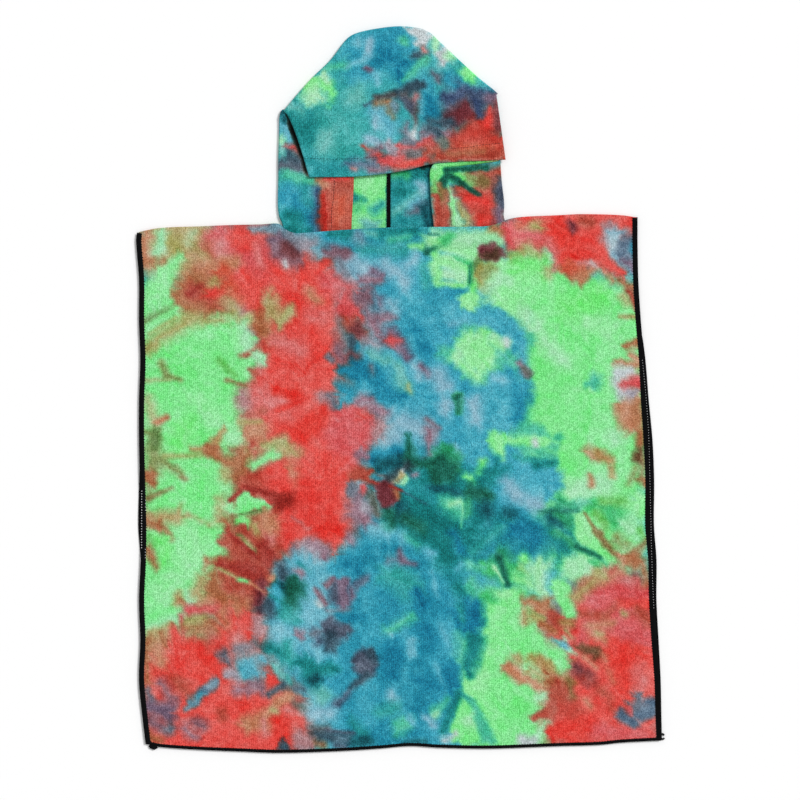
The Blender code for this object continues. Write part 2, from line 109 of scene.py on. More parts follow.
# The hood
HOOD_FOOT = 184.0
HOOD_SIDES = (
    # y, left x, right x: the folds down the sides
    (184, -139.5, 126.5), (194, -140, 127.5), (201, -141.5, 127.5), (208, -144.5, 125.5),
    (223, -146, 126), (251, -145.5, 123), (273, -145.5, 121.5), (311, -144.5, 119.5),
    (328, -144, 118.5), (335, -141.5, 118), (352, -130, 117),
)
CROWN_OUTLINE = (
    # x, y: from the left pleat's head over the crown to the right pleat's head
    (-139, 334.5), (-125, 351.5), (-105, 374), (-83, 395.5), (-66.5, 417), (-59, 424.3),
    (-47, 429.3), (-23, 434), (1, 436.2), (25, 433.6), (37, 428.2), (49, 417), (72, 395.5),
    (95.5, 374), (113, 360), (118, 355.5),
)
BRIM_EDGE = (
    # x, y: the folded-down front edge, left corner to right corner
    (-107.5, 255.5), (-59, 256), (-23, 259), (9, 264), (37, 271), (69, 274), (97, 275),
    (126.4, 276.5),
)
LEFT_PLEAT = ((-139, 334), (-58.6, 294), (-107.5, 256))
RIGHT_PLEAT = ((118, 356), (38, 273), (126.4, 277))
LEFT_FACE_EDGE = (
    # y, x
    (184, -58.6), (294, -58.6), (305, -81.5), (316, -104), (327, -126.5), (336, -127),
)
RIGHT_FACE_EDGE = (
    # y, x
    (184, 43), (195.5, 42.2), (231, 38.4), (262, 37.8), (271, 42), (300, 64), (320, 83.5),
    (340, 102), (352, 104),
)
PLEAT_LIP = (
    # x, upper y, lower y: the right pleat's hemmed edge, showing below the brim
    (42, 276, 270), (50, 281, 267.5), (62, 283, 267.5), (85, 284, 269.5), (105, 285, 272),
    (119, 286, 274),
)
CHEEK_TOP = 4.0                   # this and the next two: heights of the cloth's outer face
CROWN_FOLD_TOP = 5.8
CROWN_SIDE_TOP = 7.8
BRIM_SHARE = 0.75                 # of that difference that the brim's hem rises
BRIM_RISE_LENGTH = 45.0
BRIM_FLAT_LENGTH = 27.0
CROWN_LEFT_RAMP = (-62.0, 34.0)   # x where the rise over a pleat is full, and its length
CROWN_RIGHT_RAMP = (48.0, 30.0)
CROWN_DOWN_RAMP = (405.0, 75.0)   # y above which there is none, and its length downwards
PLEAT_FUSE = 3.4                  # underside of the front layer where the hidden pleats join it
PLEAT_EDGE_UNDER = 4.4
PLEAT_EDGE = 3.0                  # width of a pleat's border that stays free
PLEAT_HEAD = 17.0
LIP_TOP = 5.7
BEND_STEPS = 10                   # round a fold
ROOT_DEPTH = 7.0                  # how far a folded layer reaches into the back layer
ROOT_TAPER = 0.2
SLACK = 0.08                      # clearance of a fold above the floor
PINCH = 0.3                       # hollow of a fold that is pressed shut
ROUND_AT = (0.3, 0.7, 1.0)        # steps round a layer's edge, as shares
EDGE_ROUND = 1.0
UNDER_ROUND = 0.6
EDGE_LEAST = 0.04                 # squared share of its thickness that a layer keeps at its edge
LEFT_EDGE_BOW = 3.2
BOW_LENGTH = 0.12                 # share of the crown's sections that the bow fades over
BOW_SKEW = 0.6
CHEEK_GRID = (56, 90)             # points across and down
CROWN_GRID = (76, 150)            # points down and across
BACK_LAYER_GRID = (100, 90)
LIP_GRID = (60, 14)
RELIEF_PART = 8                   # the relief sets in over one part in so many, next to a fold
GROOVE_DEPTH = 0.45               # pressed into the cloth by a hem's stitching
GROOVE_WIDTH = 1.1
RIB_HEIGHT = 0.16                 # ribs that the stitching draws up along the face edge
RIB_SPACING = 3.4
RIB_REACH = 11.0
RIB_DRIFT = (1.5, 20.0)           # radians, and over what length
PUCKER_HEIGHT = 0.10
PUCKER_SPACING = 7.0
PUCKER_REACH = 7.0
PUCKER_DRIFT = (2.5, 22.0)
CHEEK_WAVE = (0.15, 13.0)
CROWN_WAVES = ((0.3, 34.0, 32), (0.12, 12.0, 33))
BACK_LAYER_WAVE = (0.2, 16.0)
BACK_LAYER_CROWN_GAP = 6.5        # between the back layer's edge and the fold at the crown
BACK_LAYER_SIDE_GAP = 4.4
BACK_LAYER_CORNER_GAP = 6.0
BACK_LAYER_NARROWS = (330.0, 25.0)    # y where it begins to narrow, and over what length
LIP_ROUND = 1.5
LIP_WAVE = (0.1, 6.0)
SEAM_LINE = ((-13.0, 186), (-12.8, 260), (-11, 330), (-8, 405))
SEAM_LEVEL = 2.8

# Grain of the cloth and the thread
CLOUDS_PER_METRE = 150.0
PILE_ROWS = 131.0                 # scale of the wave texture that lays the pile in rows
FIBRES_PER_METRE = 2400.0

# The undyed cloth's colour, and how much red, green and blue light a full dose of each dye takes
# out of it, as exponents
UNDYED = (0.76, 0.81, 0.85)
PINK_DYE = (0.085, 2.44, 1.15)
GREEN_DYE = (1.36, 0.05, 1.27)
BLUE_DYE = (2.92, 0.86, 0.62)
YELLOW_DYE = (0.0, 0.04, 1.58)
SHADES = {
    # doses of the pink, green, blue and yellow dye
    "red": (1.0, 0.0, 0.0, 1.0), "poppy": (1.22, 0.0, 0.0, 1.25), "coral": (0.83, 0.0, 0.05, 0.7),
    "brick": (0.95, 0.28, 0.05, 0.9), "deep red": (1.15, 0.18, 0.03, 1.1),
    "dark red": (1.25, 0.42, 0.06, 0.95), "maroon": (1.0, 0.3, 0.32, 0.6),
    "red brown": (1.15, 0.22, 0.38, 0.7), "pink": (0.65, 0.0, 0.04, 0.62),
    "rose": (0.5, 0.0, 0.08, 0.5), "fawn": (0.5, 0.27, 0.0, 0.6), "orange": (0.85, 0.17, 0.0, 1.0),
    "rust": (0.68, 0.42, 0.02, 0.8), "brown": (0.6, 0.62, 0.1, 0.7),
    "dark brown": (0.95, 0.7, 0.25, 0.85), "darkest brown": (1.15, 0.85, 0.4, 0.8),
    "tan": (0.34, 0.42, 0.0, 0.5), "khaki": (0.33, 0.52, 0.0, 0.6), "olive": (0.4, 0.8, 0.05, 0.45),
    "dark olive": (0.5, 1.15, 0.12, 0.35), "sage": (0.25, 0.43, 0.0, 0.4),
    "leaf": (0.16, 1.15, 0.02, 0.15), "green": (0.0, 1.0, 0.02, 0.08),
    "lime": (0.0, 0.9, 0.03, 0.02), "pea": (0.0, 0.68, 0.04, 0.06),
    "mint": (0.01, 0.42, 0.08, 0.08), "ivy": (0.05, 1.1, 0.42, 0.0),
    "emerald": (0.1, 0.85, 0.75, 0.05), "pine": (0.36, 0.82, 1.3, 0.15),
    "jade": (0.0, 0.5, 0.57, 0.0), "sea": (0.02, 0.31, 0.97, 0.0), "teal": (0.03, 0.22, 1.13, 0.0),
    "petrol": (0.06, 0.38, 1.43, 0.0), "dark teal": (0.36, 0.42, 1.65, 0.1),
    "darkest": (0.85, 0.35, 1.05, 0.5), "pool": (0.0, 0.17, 0.92, 0.0),
    "blue": (0.01, 0.0, 1.04, 0.0), "rich blue": (0.02, 0.02, 1.28, 0.0),
    "cobalt": (0.03, 0.0, 1.55, 0.0), "denim": (0.01, 0.02, 0.9, 0.0),
    "azure": (0.05, 0.03, 0.63, 0.0), "sky": (0.05, 0.03, 0.49, 0.0),
    "lilac": (0.11, 0.0, 0.4, 0.05), "ash": (0.27, 0.0, 0.25, 0.2), "mauve": (0.52, 0.0, 0.3, 0.35),
    "blush": (0.47, 0.0, 0.2, 0.42), "plum": (0.6, 0.0, 0.48, 0.35),
    "slate": (0.45, 0.05, 0.55, 0.3), "smoke": (0.23, 0.0, 0.55, 0.15),
    "steel": (0.43, 0.0, 0.7, 0.25), "grape": (0.62, 0.08, 0.75, 0.35),
    "wine": (0.62, 0.0, 0.4, 0.45), "umber": (0.65, 0.17, 0.6, 0.5),
    "ochre": (0.48, 0.45, 0.0, 0.7), "aqua": (0.05, 0.2, 0.53, 0.05),
    "pearl": (0.1, 0.0, 0.14, 0.12), "sage slate": (0.5, 0.28, 0.48, 0.4),
    "ink": (0.6, 0.14, 0.93, 0.35), "night slate": (0.66, 0.05, 0.95, 0.2),
    # The last shade is no dye: near-black doses that paint the shadow inside the hood's deep folds.
    "painted fold shadow": (1.7, 1.2, 1.6, 1.0),
}

# Dyed patches and streaks, laid one over the other: the shade, x, y, how far it runs in x and in
# y, its half width at each end and the softness of its border. The first covers everything.
# Rows of the near-black fold shade are no dye: they are painted shadow in the hood's deep folds.
FRONT_GROUND = (
    ("blue", 0, 0, 0, 0, 2000, 2000, 20), ("tan", -265, 175, 30, -20, 50, 40, 20),
    ("lime", -290, 80, 15, -510, 52, 65, 18), ("lime", -235, 45, 0, -260, 60, 45, 16),
    ("coral", -190, 160, 40, -40, 46, 56, 22), ("red", -116, 115, 0, -69, 53, 56, 18),
    ("pink", -168, 5, 18, -45, 26, 40, 14), ("brick", -165, -85, 0, -115, 34, 38, 16),
    ("red", -116, 15, 8, -145, 50, 56, 18), ("rust", -205, -245, 25, 10, 28, 26, 16),
    ("red", -195, -300, 5, -30, 40, 50, 20), ("red", -265, -345, 10, -55, 52, 60, 16),
    ("red", -230, -400, 80, 0, 55, 50, 20), ("petrol", 50, -130, 10, -40, 50, 50, 24),
    ("lime", 235, 50, -10, -150, 84, 70, 18), ("lime", 165, 135, 35, -45, 34, 50, 16),
    ("pea", 122, 140, 8, -22, 26, 22, 14), ("lime", 130, -290, 10, -110, 55, 60, 20),
    ("lime", 230, -180, 15, -10, 55, 52, 16), ("red", 160, 195, 105, -5, 30, 36, 14),
    ("red", 250, -300, 0, -90, 75, 75, 20),
)
FRONT_LEFT_TOP = (
    ("fawn", -304, 182, 4, -32, 9, 12, 10), ("mint", -283, 186, -5, -24, 9, 9, 8),
    ("mint", -250, 184, -2, -6, 7, 7, 8), ("khaki", -268, 178, 2, -10, 8, 7, 8),
    ("tan", -240, 178, 12, -18, 12, 13, 12), ("rust", -306, 150, 24, 3, 4, 4, 6),
    ("coral", -218, 186, 16, -20, 13, 15, 12), ("rose", -216, 172, 4, -22, 7, 6, 8),
    ("poppy", -194, 176, 10, 0, 8, 8, 9), ("red", -196, 186, 36, 0, 9, 7, 10),
    ("pink", -172, 172, 6, -22, 5, 6, 8), ("smoke", -178, 193, 28, -1, 4, 5, 6),
    ("plum", -146, 176, 18, -4, 8, 10, 8), ("wine", -142, 166, 16, -10, 12, 12, 9),
    ("maroon", -134, 168, 8, -8, 7, 7, 7), ("pearl", -138, 154, 2, -6, 3, 3, 4),
    ("pea", -290, 130, 2, -12, 17, 19, 10), ("pea", -280, 138, 18, 22, 8, 3, 6),
    ("rust", -250, 124, 20, -18, 18, 25, 10), ("brick", -246, 116, 20, -18, 10, 14, 9),
    ("dark red", -250, 114, 12, 10, 5, 3, 6), ("red", -226, 116, 20, 0, 6, 8, 8),
    ("rust", -264, 112, 6, -8, 7, 7, 7), ("rust", -262, 102, 32, -12, 7, 8, 7),
    ("fawn", -232, 148, 36, 4, 9, 10, 10), ("tan", -222, 128, 4, 4, 7, 7, 7),
    ("orange", -214, 144, 8, -4, 7, 7, 7), ("orange", -206, 122, 22, -10, 11, 14, 10),
    ("tan", -206, 108, 4, -12, 8, 11, 9), ("red", -186, 132, 14, -24, 12, 12, 10),
    ("tan", -158, 112, 4, -20, 9, 12, 9), ("rust", -166, 82, 14, -20, 11, 12, 10),
    ("sage", -140, 82, 10, 10, 7, 8, 7), ("lime", -272, 28, 50, 20, 30, 38, 12),
    ("lime", -212, 70, 16, -30, 18, 30, 9), ("sage", -228, 84, 48, 0, 3, 8, 7),
    ("pea", -198, 76, 14, -16, 8, 12, 8), ("mint", -188, 74, 8, -28, 6, 8, 8),
    ("dark olive", -305, 83, 29, 14, 5, 3, 6), ("pea", -304, 71, 40, 26, 5, 4, 5),
    ("khaki", -300, 66, 32, 20, 1.5, 1.5, 4), ("khaki", -292, 56, 40, 28, 8, 9, 9),
    ("khaki", -254, 86, 18, -6, 6, 6, 7), ("rust", -174, 72, 8, -4, 2, 6, 6),
    ("leaf", -216, 34, 20, -18, 3, 1.5, 5), ("brown", -189, 41, 6, 1, 4, 3.5, 4),
    ("brick", -184, 42, 20, 12, 2, 1.5, 4), ("mint", -170, 44, 6, -8, 5, 7, 5),
    ("brick", -180, 24, 10, -6, 2.5, 1.5, 4), ("pea", -186, 20, 4, -6, 5, 4, 6),
    ("brown", -207, 11, 21, -7, 3, 1.5, 4), ("khaki", -302, 48, 6, 4, 6, 5, 8),
    ("olive", -286, 32, 6, -14, 2.5, 2.5, 6), ("olive", -280, 17, 18, -6, 2, 1.5, 4),
    ("tan", -304, 12, 28, 0, 2.5, 1.5, 5), ("pink", -150, 58, 28, -10, 9, 12, 10),
)
FRONT_NECK = (
    ("azure", -118, 188, 14, -4, 8, 9, 9), ("slate", -128, 182, 8, -8, 8, 7, 8),
    ("ash", -112, 170, 8, -2, 11, 10, 10), ("azure", -94, 168, 2, -6, 6, 6, 7),
    ("petrol", -78, 187, 16, -1, 7, 7, 8), ("smoke", -50, 184, 6, -8, 8, 8, 9),
    ("petrol", -26, 187, 46, 1, 6, 7, 8), ("sea", -44, 166, 50, 2, 7, 9, 12),
    ("jade", -12, 180, 22, 4, 4, 4, 6), ("mint", 44, 180, 62, -4, 14, 18, 9),
    ("pea", 44, 152, 32, -2, 9, 16, 6), ("mint", 46, 136, 28, 0, 9, 10, 6),
    ("pea", 48, 168, 44, -6, 7, 9, 7), ("pine", 33, 164, 15, 9, 2.5, 1.5, 3.5),
    ("pine", 30, 170, 4, -4, 3.5, 3.5, 4), ("ivy", 52, 176, 10, 8, 4, 2, 5),
    ("pine", 35, 186, 13, 0, 0.8, 0.8, 2), ("lime", 14, 172, 13, 0, 3.5, 4, 4),
    ("pea", 34, 178, 10, -2, 4, 5, 5), ("pea", 43, 160, 0, -31, 5, 5, 4),
    ("pea", 46, 127, 34, 0, 4, 4, 4), ("ivy", 66, 158, 18, -8, 1.2, 3, 5),
    ("sea", 28, 148, 6, -26, 6, 7, 8), ("lilac", -60, 152, 14, -14, 15, 19, 9),
    ("lilac", -20, 150, 14, -10, 8, 9, 12), ("lilac", 2, 134, 6, -12, 9, 10, 10),
    ("lilac", 12, 150, 8, 10, 6, 6, 9), ("plum", -80, 171, 12, -5, 4, 5, 6),
    ("wine", -88, 164, 24, -2, 4, 6, 6), ("slate", -72, 152, 6, -12, 5, 5, 7),
    ("fawn", -108, 114, 8, -8, 7, 6, 8), ("coral", -82, 128, 32, -10, 14, 6, 10),
    ("pink", -104, 86, 12, -2, 9, 9, 10), ("coral", -66, 106, 16, -14, 12, 10, 10),
    ("mauve", -44, 132, 22, 0, 4, 6, 6), ("plum", -30, 142, 8, -4, 5, 4, 6),
    ("wine", -40, 112, 6, 10, 8, 4, 8), ("plum", -24, 112, 1, -10, 4, 5, 9),
    ("wine", -42, 102, 8, -18, 7, 5, 8), ("mauve", -20, 86, 12, 2, 7, 4, 8),
    ("lilac", -10, 104, 6, -8, 7, 6, 8), ("brick", -58, 80, 12, -14, 9, 9, 9),
    ("maroon", -52, 76, 8, -14, 5, 5, 8), ("mauve", -34, 80, 8, -14, 8, 9, 9),
    ("ash", -34, 56, 8, -6, 9, 8, 9), ("plum", -10, 70, 6, -6, 7, 6, 7),
    ("wine", -14, 58, 16, -4, 7, 8, 7), ("coral", -12, 60, 8, -6, 4, 5, 5),
    ("plum", 2, 50, 6, -10, 6, 5, 7), ("wine", -74, 50, 8, -14, 7, 6, 8),
    ("ink", -57, 62, 2, -12, 3.5, 4, 5), ("cobalt", -50, 52, -4, -6, 3, 4, 4),
    ("maroon", -58, 42, 6, -4, 5, 5, 6), ("slate", -86, 40, 4, -4, 3.5, 3, 4),
    ("aqua", -32, 42, 16, -8, 6, 7, 8), ("cobalt", -72, 22, 16, -2, 5, 8, 6),
    ("cobalt", -50, 30, 16, -8, 6, 8, 8), ("slate", -34, 26, 4, -8, 4, 4, 6),
    ("cobalt", -24, 12, 12, -14, 9, 12, 10), ("aqua", -2, 24, 6, -14, 8, 10, 8),
    ("sage", 12, 2, 2, -4, 4, 4, 5), ("lilac", 18, 30, 6, -16, 6, 6, 8),
    ("plum", 26, 27, 8, -9, 4, 4, 5), ("lilac", 46, 18, 10, -14, 9, 10, 10),
    ("lilac", 60, 78, 18, 6, 3, 4, 6), ("cobalt", 18, 76, 3, -4, 6, 5, 7),
    ("cobalt", 29, 52, 7, -8, 7, 8, 9), ("denim", 16, 104, 36, -7, 12, 10, 14),
    ("jade", 52, 46, 8, -6, 5, 7, 8), ("jade", 97, 46, 1, -6, 34, 32, 7),
    ("pea", 84, 56, 16, -18, 14, 20, 7), ("pea", 70, 40, 26, -26, 7, 8, 7),
    ("pea", 116, 58, 10, -4, 8, 8, 6), ("pea", 100, 70, -2, -10, 6, 10, 6),
    ("mint", 68, 34, 6, 10, 5, 5, 6), ("mint", 112, 66, 18, -6, 5, 6, 6),
    ("aqua", -38, 188, 8, -1, 5, 5, 5),
)
FRONT_LEFT_MIDDLE = (
    ("pea", -245, -12, 37, -40, 10, 13, 12), ("pea", -205, -58, 13, 0, 12, 12, 7),
    ("green", -255, -48, -10, -22, 13, 12, 12), ("sage", -302, -12, 5, -24, 6, 8, 9),
    ("fawn", -292, -42, 13, 8, 3.5, 3.5, 4), ("olive", -297, -55, 3, -33, 10, 14, 9),
    ("dark olive", -292, -50, -2, -16, 3, 5, 7), ("olive", -286, -88, 24, -15, 5, 3.5, 6),
    ("brown", -260, -106, 3, -2, 2.5, 2.5, 4), ("khaki", -282, -80, 46, 1, 2.5, 1.5, 5),
    ("rust", -299, -100, 0, -10, 7, 6, 5), ("olive", -303, -116, 3, -8, 4, 4, 6),
    ("brown", -303, -131, 30, 13, 4, 1, 4), ("tan", -296, -154, 26, 0, 11, 12, 10),
    ("rust", -304, -155, 6, -5, 4, 5, 7), ("rust", -290, -164, 15, -14, 6, 3, 5),
    ("tan", -256, -151, 28, -12, 3, 2, 5), ("sage", -218, -158, 4, 12, 6, 7, 9),
    ("green", -284, -186, 2, -14, 12, 11, 8), ("leaf", -303, -178, 3, -8, 4, 4, 6),
    ("rust", -300, -192, 10, -21, 5, 2.5, 6), ("pea", -246, -174, -2, -34, 17, 17, 12),
    ("sage", -208, -96, 2, -8, 7, 8, 9), ("pea", -212, -118, 6, -2, 8, 7, 8),
    ("ochre", -250, -69, 18, -1, 2.5, 4, 5), ("ochre", -212, -49, -12, -17, 3, 6, 5),
    ("rust", -228, -74, 10, -2, 7, 8, 5), ("rust", -216, -82, 20, -7, 5, 6, 5),
    ("tan", -186, -74, 7, -8, 5, 5, 7), ("rust", -188, -82, -4, -18, 8, 8, 8),
    ("fawn", -178, -52, 10, 2, 10, 11, 9), ("sage", -166, -70, 28, 2, 6, 10, 8),
    ("tan", -140, -78, 14, 2, 6, 8, 9), ("pea", -174, -92, 24, 15, 7, 6, 6),
    ("blush", -190, -8, 6, -10, 6, 7, 8), ("pink", -160, -12, 20, -6, 18, 16, 14),
    ("poppy", -148, 4, 22, -4, 5, 8, 6), ("red", -146, -28, 34, 16, 3, 5, 6),
    ("brick", -188, -34, 26, 8, 2, 5, 5), ("khaki", -192, -39, 26, 1, 3, 2, 5),
    ("poppy", -116, -52, 24, 16, 10, 11, 9), ("fawn", -128, -96, 6, -14, 8, 9, 8),
    ("dark red", -186, -120, 40, -12, 2, 6, 3), ("dark red", -146, -138, 22, 3, 8, 6, 7),
    ("pea", -206, -138, 6, -6, 7, 5, 4), ("olive", -195, -154, 37, 8, 2.5, 4, 4),
    ("lime", -189, -131, -1, -15, 8, 8, 2.5), ("lime", -182, -134, 30, -5, 9, 1, 2.5),
    ("green", -190, -158, 5, -1, 8, 7, 4), ("khaki", -172, -162, 2, -8, 6, 5, 8),
    ("fawn", -157, -160, 5, -4, 12, 12, 9), ("rose", -156, -180, 2, -2, 6, 6, 7),
    ("red", -126, -160, 4, -16, 13, 14, 10), ("ash", -128, -153, 22, -17, 1, 4, 5),
    ("sage", -214, -132, 2, -4, 5, 5, 8), ("rust", -210, -160, 6, -16, 5, 7, 6),
    ("brick", -204, -174, 26, -38, 9, 16, 7), ("olive", -192, -174, 16, -22, 2, 5, 4),
    ("sage", -184, -182, 6, -8, 2, 3, 5), ("brick", -216, -184, 10, -2, 2, 4, 4),
    ("rust", -230, -206, 24, -1, 3, 6, 6), ("dark red", -160, -190, 10, -16, 5, 12, 7),
    ("slate", -126, -190, 8, -14, 7, 10, 6), ("ash", -112, -184, 8, -6, 6, 8, 8),
    ("dark olive", -197, -152, 31, 6, 1, 2, 2.5), ("dark red", -204, -133, 14, 11, 1.2, 1.6, 2),
    ("dark red", -204, -174, 38, -34, 2, 4, 3), ("dark red", -168, -190, 8, -26, 2, 5, 3),
)
FRONT_MIDDLE = (
    ("coral", -62, -35, 2, -55, 28, 20, 14), ("red", -90, -110, 5, -50, 36, 28, 14),
    ("red", -80, -170, 4, -24, 18, 5, 7), ("poppy", -116, -48, 26, 20, 9, 9, 10),
    ("blush", -93, -8, 1, -2, 8, 8, 7), ("slate", -83, -8, 3, -10, 4, 4, 6),
    ("blue", -66, -4, 2, -4, 12, 11, 8), ("sky", -46, -8, 6, 4, 9, 6, 8),
    ("cobalt", -22, -3, 24, -3, 11, 8, 8), ("mauve", -46, -14, 8, 0, 8, 6, 8),
    ("mauve", -30, -20, 10, -8, 6, 8, 8), ("red", -42, -36, 4, 2, 8, 7, 8),
    ("coral", -30, -46, -4, -10, 8, 6, 9), ("coral", -42, -48, -4, -18, 12, 9, 8),
    ("blush", -20, -44, -6, -16, 9, 8, 9), ("lilac", -14, -62, 8, 8, 9, 9, 10),
    ("lilac", 3, -38, 25, -12, 15, 14, 14), ("mauve", -46, -78, 10, -4, 7, 5, 6),
    ("wine", 33, -36, 14, -10, 2, 2, 5), ("mauve", 39, -54, -3, -24, 9, 5, 9),
    ("lilac", 55, -18, 1, -6, 10, 9, 10), ("lilac", 66, -70, 6, -6, 7, 6, 8),
    ("ivy", 71, -8, 3, -18, 6, 5, 5), ("pine", 71, -12, 1, -12, 5, 4, 5),
    ("emerald", 50, -84, 10, -2, 16, 18, 7), ("cobalt", -22, -86, 20, 6, 11, 11, 5),
    ("dark teal", -20, -92, 24, 4, 8, 9, 7), ("pine", 11, -58, 5, -26, 1.5, 8, 6),
    ("pine", 14, -90, 16, 2, 9, 6, 7), ("pine", 50, -92, 4, -6, 16, 17, 8),
    ("umber", -34, -98, 24, -12, 2, 6, 4), ("darkest", -16, -110, 26, 18, 4, 6, 6),
    ("pearl", 4, -96, -2, -8, 2, 4, 3), ("tan", -9, -112, 11, 8, 1, 4, 4),
    ("mint", -4, -113, 9, 2, 1.5, 6, 4), ("mauve", 16, -103, 4, 1, 4, 4, 5),
    ("teal", 12, -120, 22, -4, 8, 9, 8), ("dark teal", 40, -120, 30, -6, 6, 5, 6),
    ("teal", 34, -134, 16, -2, 8, 8, 8), ("petrol", 8, -148, 58, -36, 19, 15, 10),
    ("dark teal", 0, -138, 4, -16, 7, 10, 8), ("pine", 8, -158, 16, -8, 8, 8, 9),
    ("pine", -13, -150, 3, -18, 10, 6, 7), ("jade", -18, -170, 8, -6, 7, 6, 7),
    ("jade", 6, -176, 18, -12, 3, 3, 8), ("cobalt", 66, -176, 6, -16, 6, 8, 10),
    ("brick", -56, -102, 18, -2, 7, 8, 6), ("dark red", -34, -110, 24, -6, 4, 4, 4),
    ("red brown", -19, -121, 7, -12, 7, 9, 4), ("rust", -5, -122, 3, -7, 3, 3, 4),
    ("dark red", -12, -115.5, 15, -6, 0.8, 1.2, 1.6), ("grape", 4, -122, 30, -16, 1, 0.6, 2.5),
    ("slate", -57, -120, 7, -6, 9, 8, 4), ("lilac", -48, -113, 3, -2, 4, 3, 4),
    ("coral", -42, -120, 0, -4, 6, 5, 4), ("sage slate", -31, -124, 5, -20, 5, 7, 6),
    ("mauve", -52, -146, 10, -12, 13, 14, 12), ("ash", -42, -140, 2, -2, 6, 6, 8),
    ("sky", -34, -170, 8, -6, 5, 6, 7), ("sky", -22, -180, 26, -3, 11, 8, 10),
    ("mauve", -62, -176, 5, -8, 5, 5, 7), ("sky", 32, -196, 8, -2, 8, 7, 8),
    ("mauve", -98, -188, 6, -4, 12, 11, 10), ("ash", -112, -200, 8, -4, 12, 12, 10),
    ("poppy", -87, -163, 5, -5, 12, 11, 8), ("lime", 82, -106, 6, -1, 5, 6, 5),
    ("jade", 58, -137, 12, -5, 8, 9, 8), ("mint", 60, -138, 14, 4, 3, 4, 6),
    ("pea", 77, -138, -3, -28, 2.5, 1.5, 3), ("emerald", 84, -122, -2, -28, 4, 4, 5),
)
FRONT_RIGHT_MIDDLE = (
    ("denim", 118, -20, -18, -40, 32, 26, 14), ("cobalt", 145, -8, -2, -24, 11, 8, 7),
    ("teal", 158, -4, -1, -10, 4, 4, 6), ("lilac", 90, -16, 2, -22, 10, 9, 10),
    ("jade", 138, -62, 44, 0, 12, 12, 6), ("lime", 117, -60, 7, -22, 11, 6, 5),
    ("lime", 130, -60, 48, -2, 6, 10, 5), ("jade", 146, -49, 22, -1, 5, 6, 5),
    ("pearl", 163, -64, 1, -3, 3, 3, 5), ("green", 102, -84, -5, -18, 4, 4, 6),
    ("denim", 145, -104, 27, -9, 28, 26, 9), ("petrol", 118, -100, -10, -6, 10, 13, 10),
    ("sea", 140, -82, 44, -6, 4, 6, 6), ("jade", 170, -78, 16, -6, 5, 5, 6),
    ("petrol", 168, -88, 12, 0, 6, 5, 6), ("lilac", 130, -112, 12, -18, 7, 9, 9),
    ("lilac", 156, -134, 10, -4, 8, 8, 8), ("pine", 86, -122, 14, -6, 9, 10, 7),
    ("dark teal", 104, -140, 4, -8, 8, 7, 8), ("petrol", 130, -168, 60, -12, 18, 22, 12),
    ("dark teal", 130, -146, 6, -4, 4, 4, 8), ("cobalt", 142, -168, 20, -8, 16, 15, 12),
    ("sea", 88, -196, 36, 30, 4, 5, 6), ("jade", 200, -144, 22, 8, 8, 8, 8),
    ("emerald", 192, -136, 12, -6, 5, 5, 8), ("dark teal", 184, -154, 12, -4, 8, 8, 7),
    ("emerald", 190, -150, 18, -10, 5, 6, 6), ("pine", 168, -146, 48, 0.5, 1.5, 2, 4),
    ("emerald", 190, -172, 24, -16, 7, 5, 7), ("pea", 221, -154, 2, -22, 8, 11, 3),
    ("mint", 212, -202, 8, -8, 8, 13, 9), ("emerald", 206, -182, 42, -25, 5, 2, 5),
    ("pine", 212, -188, 28, -14, 1.5, 1, 4), ("mint", 260, -58, 2, -4, 9, 9, 10),
    ("mint", 212, -122, 36, 10, 13, 14, 12), ("fawn", 228, -76, 5, -7, 5, 5, 7),
    ("ochre", 242, -80, 12, -5, 6, 5, 6), ("tan", 255, -94, 1, -10, 4, 2.5, 5),
    ("fawn", 227, -103, 3, -11, 1, 3, 5), ("fawn", 274, -14, 5, -30, 12, 9, 8),
    ("rust", 284, -14, 3, -24, 6, 6, 8), ("ash", 270, -2, 10, -6, 8, 7, 7),
    ("coral", 286, 4, 3, -2, 6, 5, 5), ("rust", 289, -54, 1, -12, 5, 5, 6),
    ("dark brown", 289, -76, -1, -6, 6, 6, 6), ("brown", 293, -86, -5, -20, 5, 5, 6),
    ("olive", 284, -94, -8, -20, 4, 3, 6), ("rust", 294, -108, 0, -8, 4, 3, 5),
    ("ivy", 234, -140, 28, -6, 6, 8, 10), ("leaf", 244, -136, 26, 0, 7, 6, 8),
    ("pea", 286, -138, 2, -12, 14, 12, 9), ("ivy", 248, -148, 12, -10, 7, 8, 8),
    ("leaf", 238, -152, 8, -12, 5, 5, 5), ("brown", 223, -148, 13, -22, 0.8, 1.6, 2.5),
    ("brown", 236, -170, 7, -2, 3, 3, 4), ("brown", 240, -176, 22, -25, 4, 3, 4),
    ("mint", 272, -160, 6, -8, 9, 9, 8), ("olive", 262, -180, 8, -6, 7, 6, 8),
    ("leaf", 290, -168, 3, -8, 4, 3, 5), ("brown", 298, -182, -26, -24, 3, 5, 5),
    ("fawn", 266, -200, 6, -6, 6, 7, 6), ("rust", 280, -202, 4, -8, 7, 7, 5),
    ("lime", 150, -200, 2, -6, 6, 6, 6), ("emerald", 122, -200, 6, -8, 9, 10, 10),
)
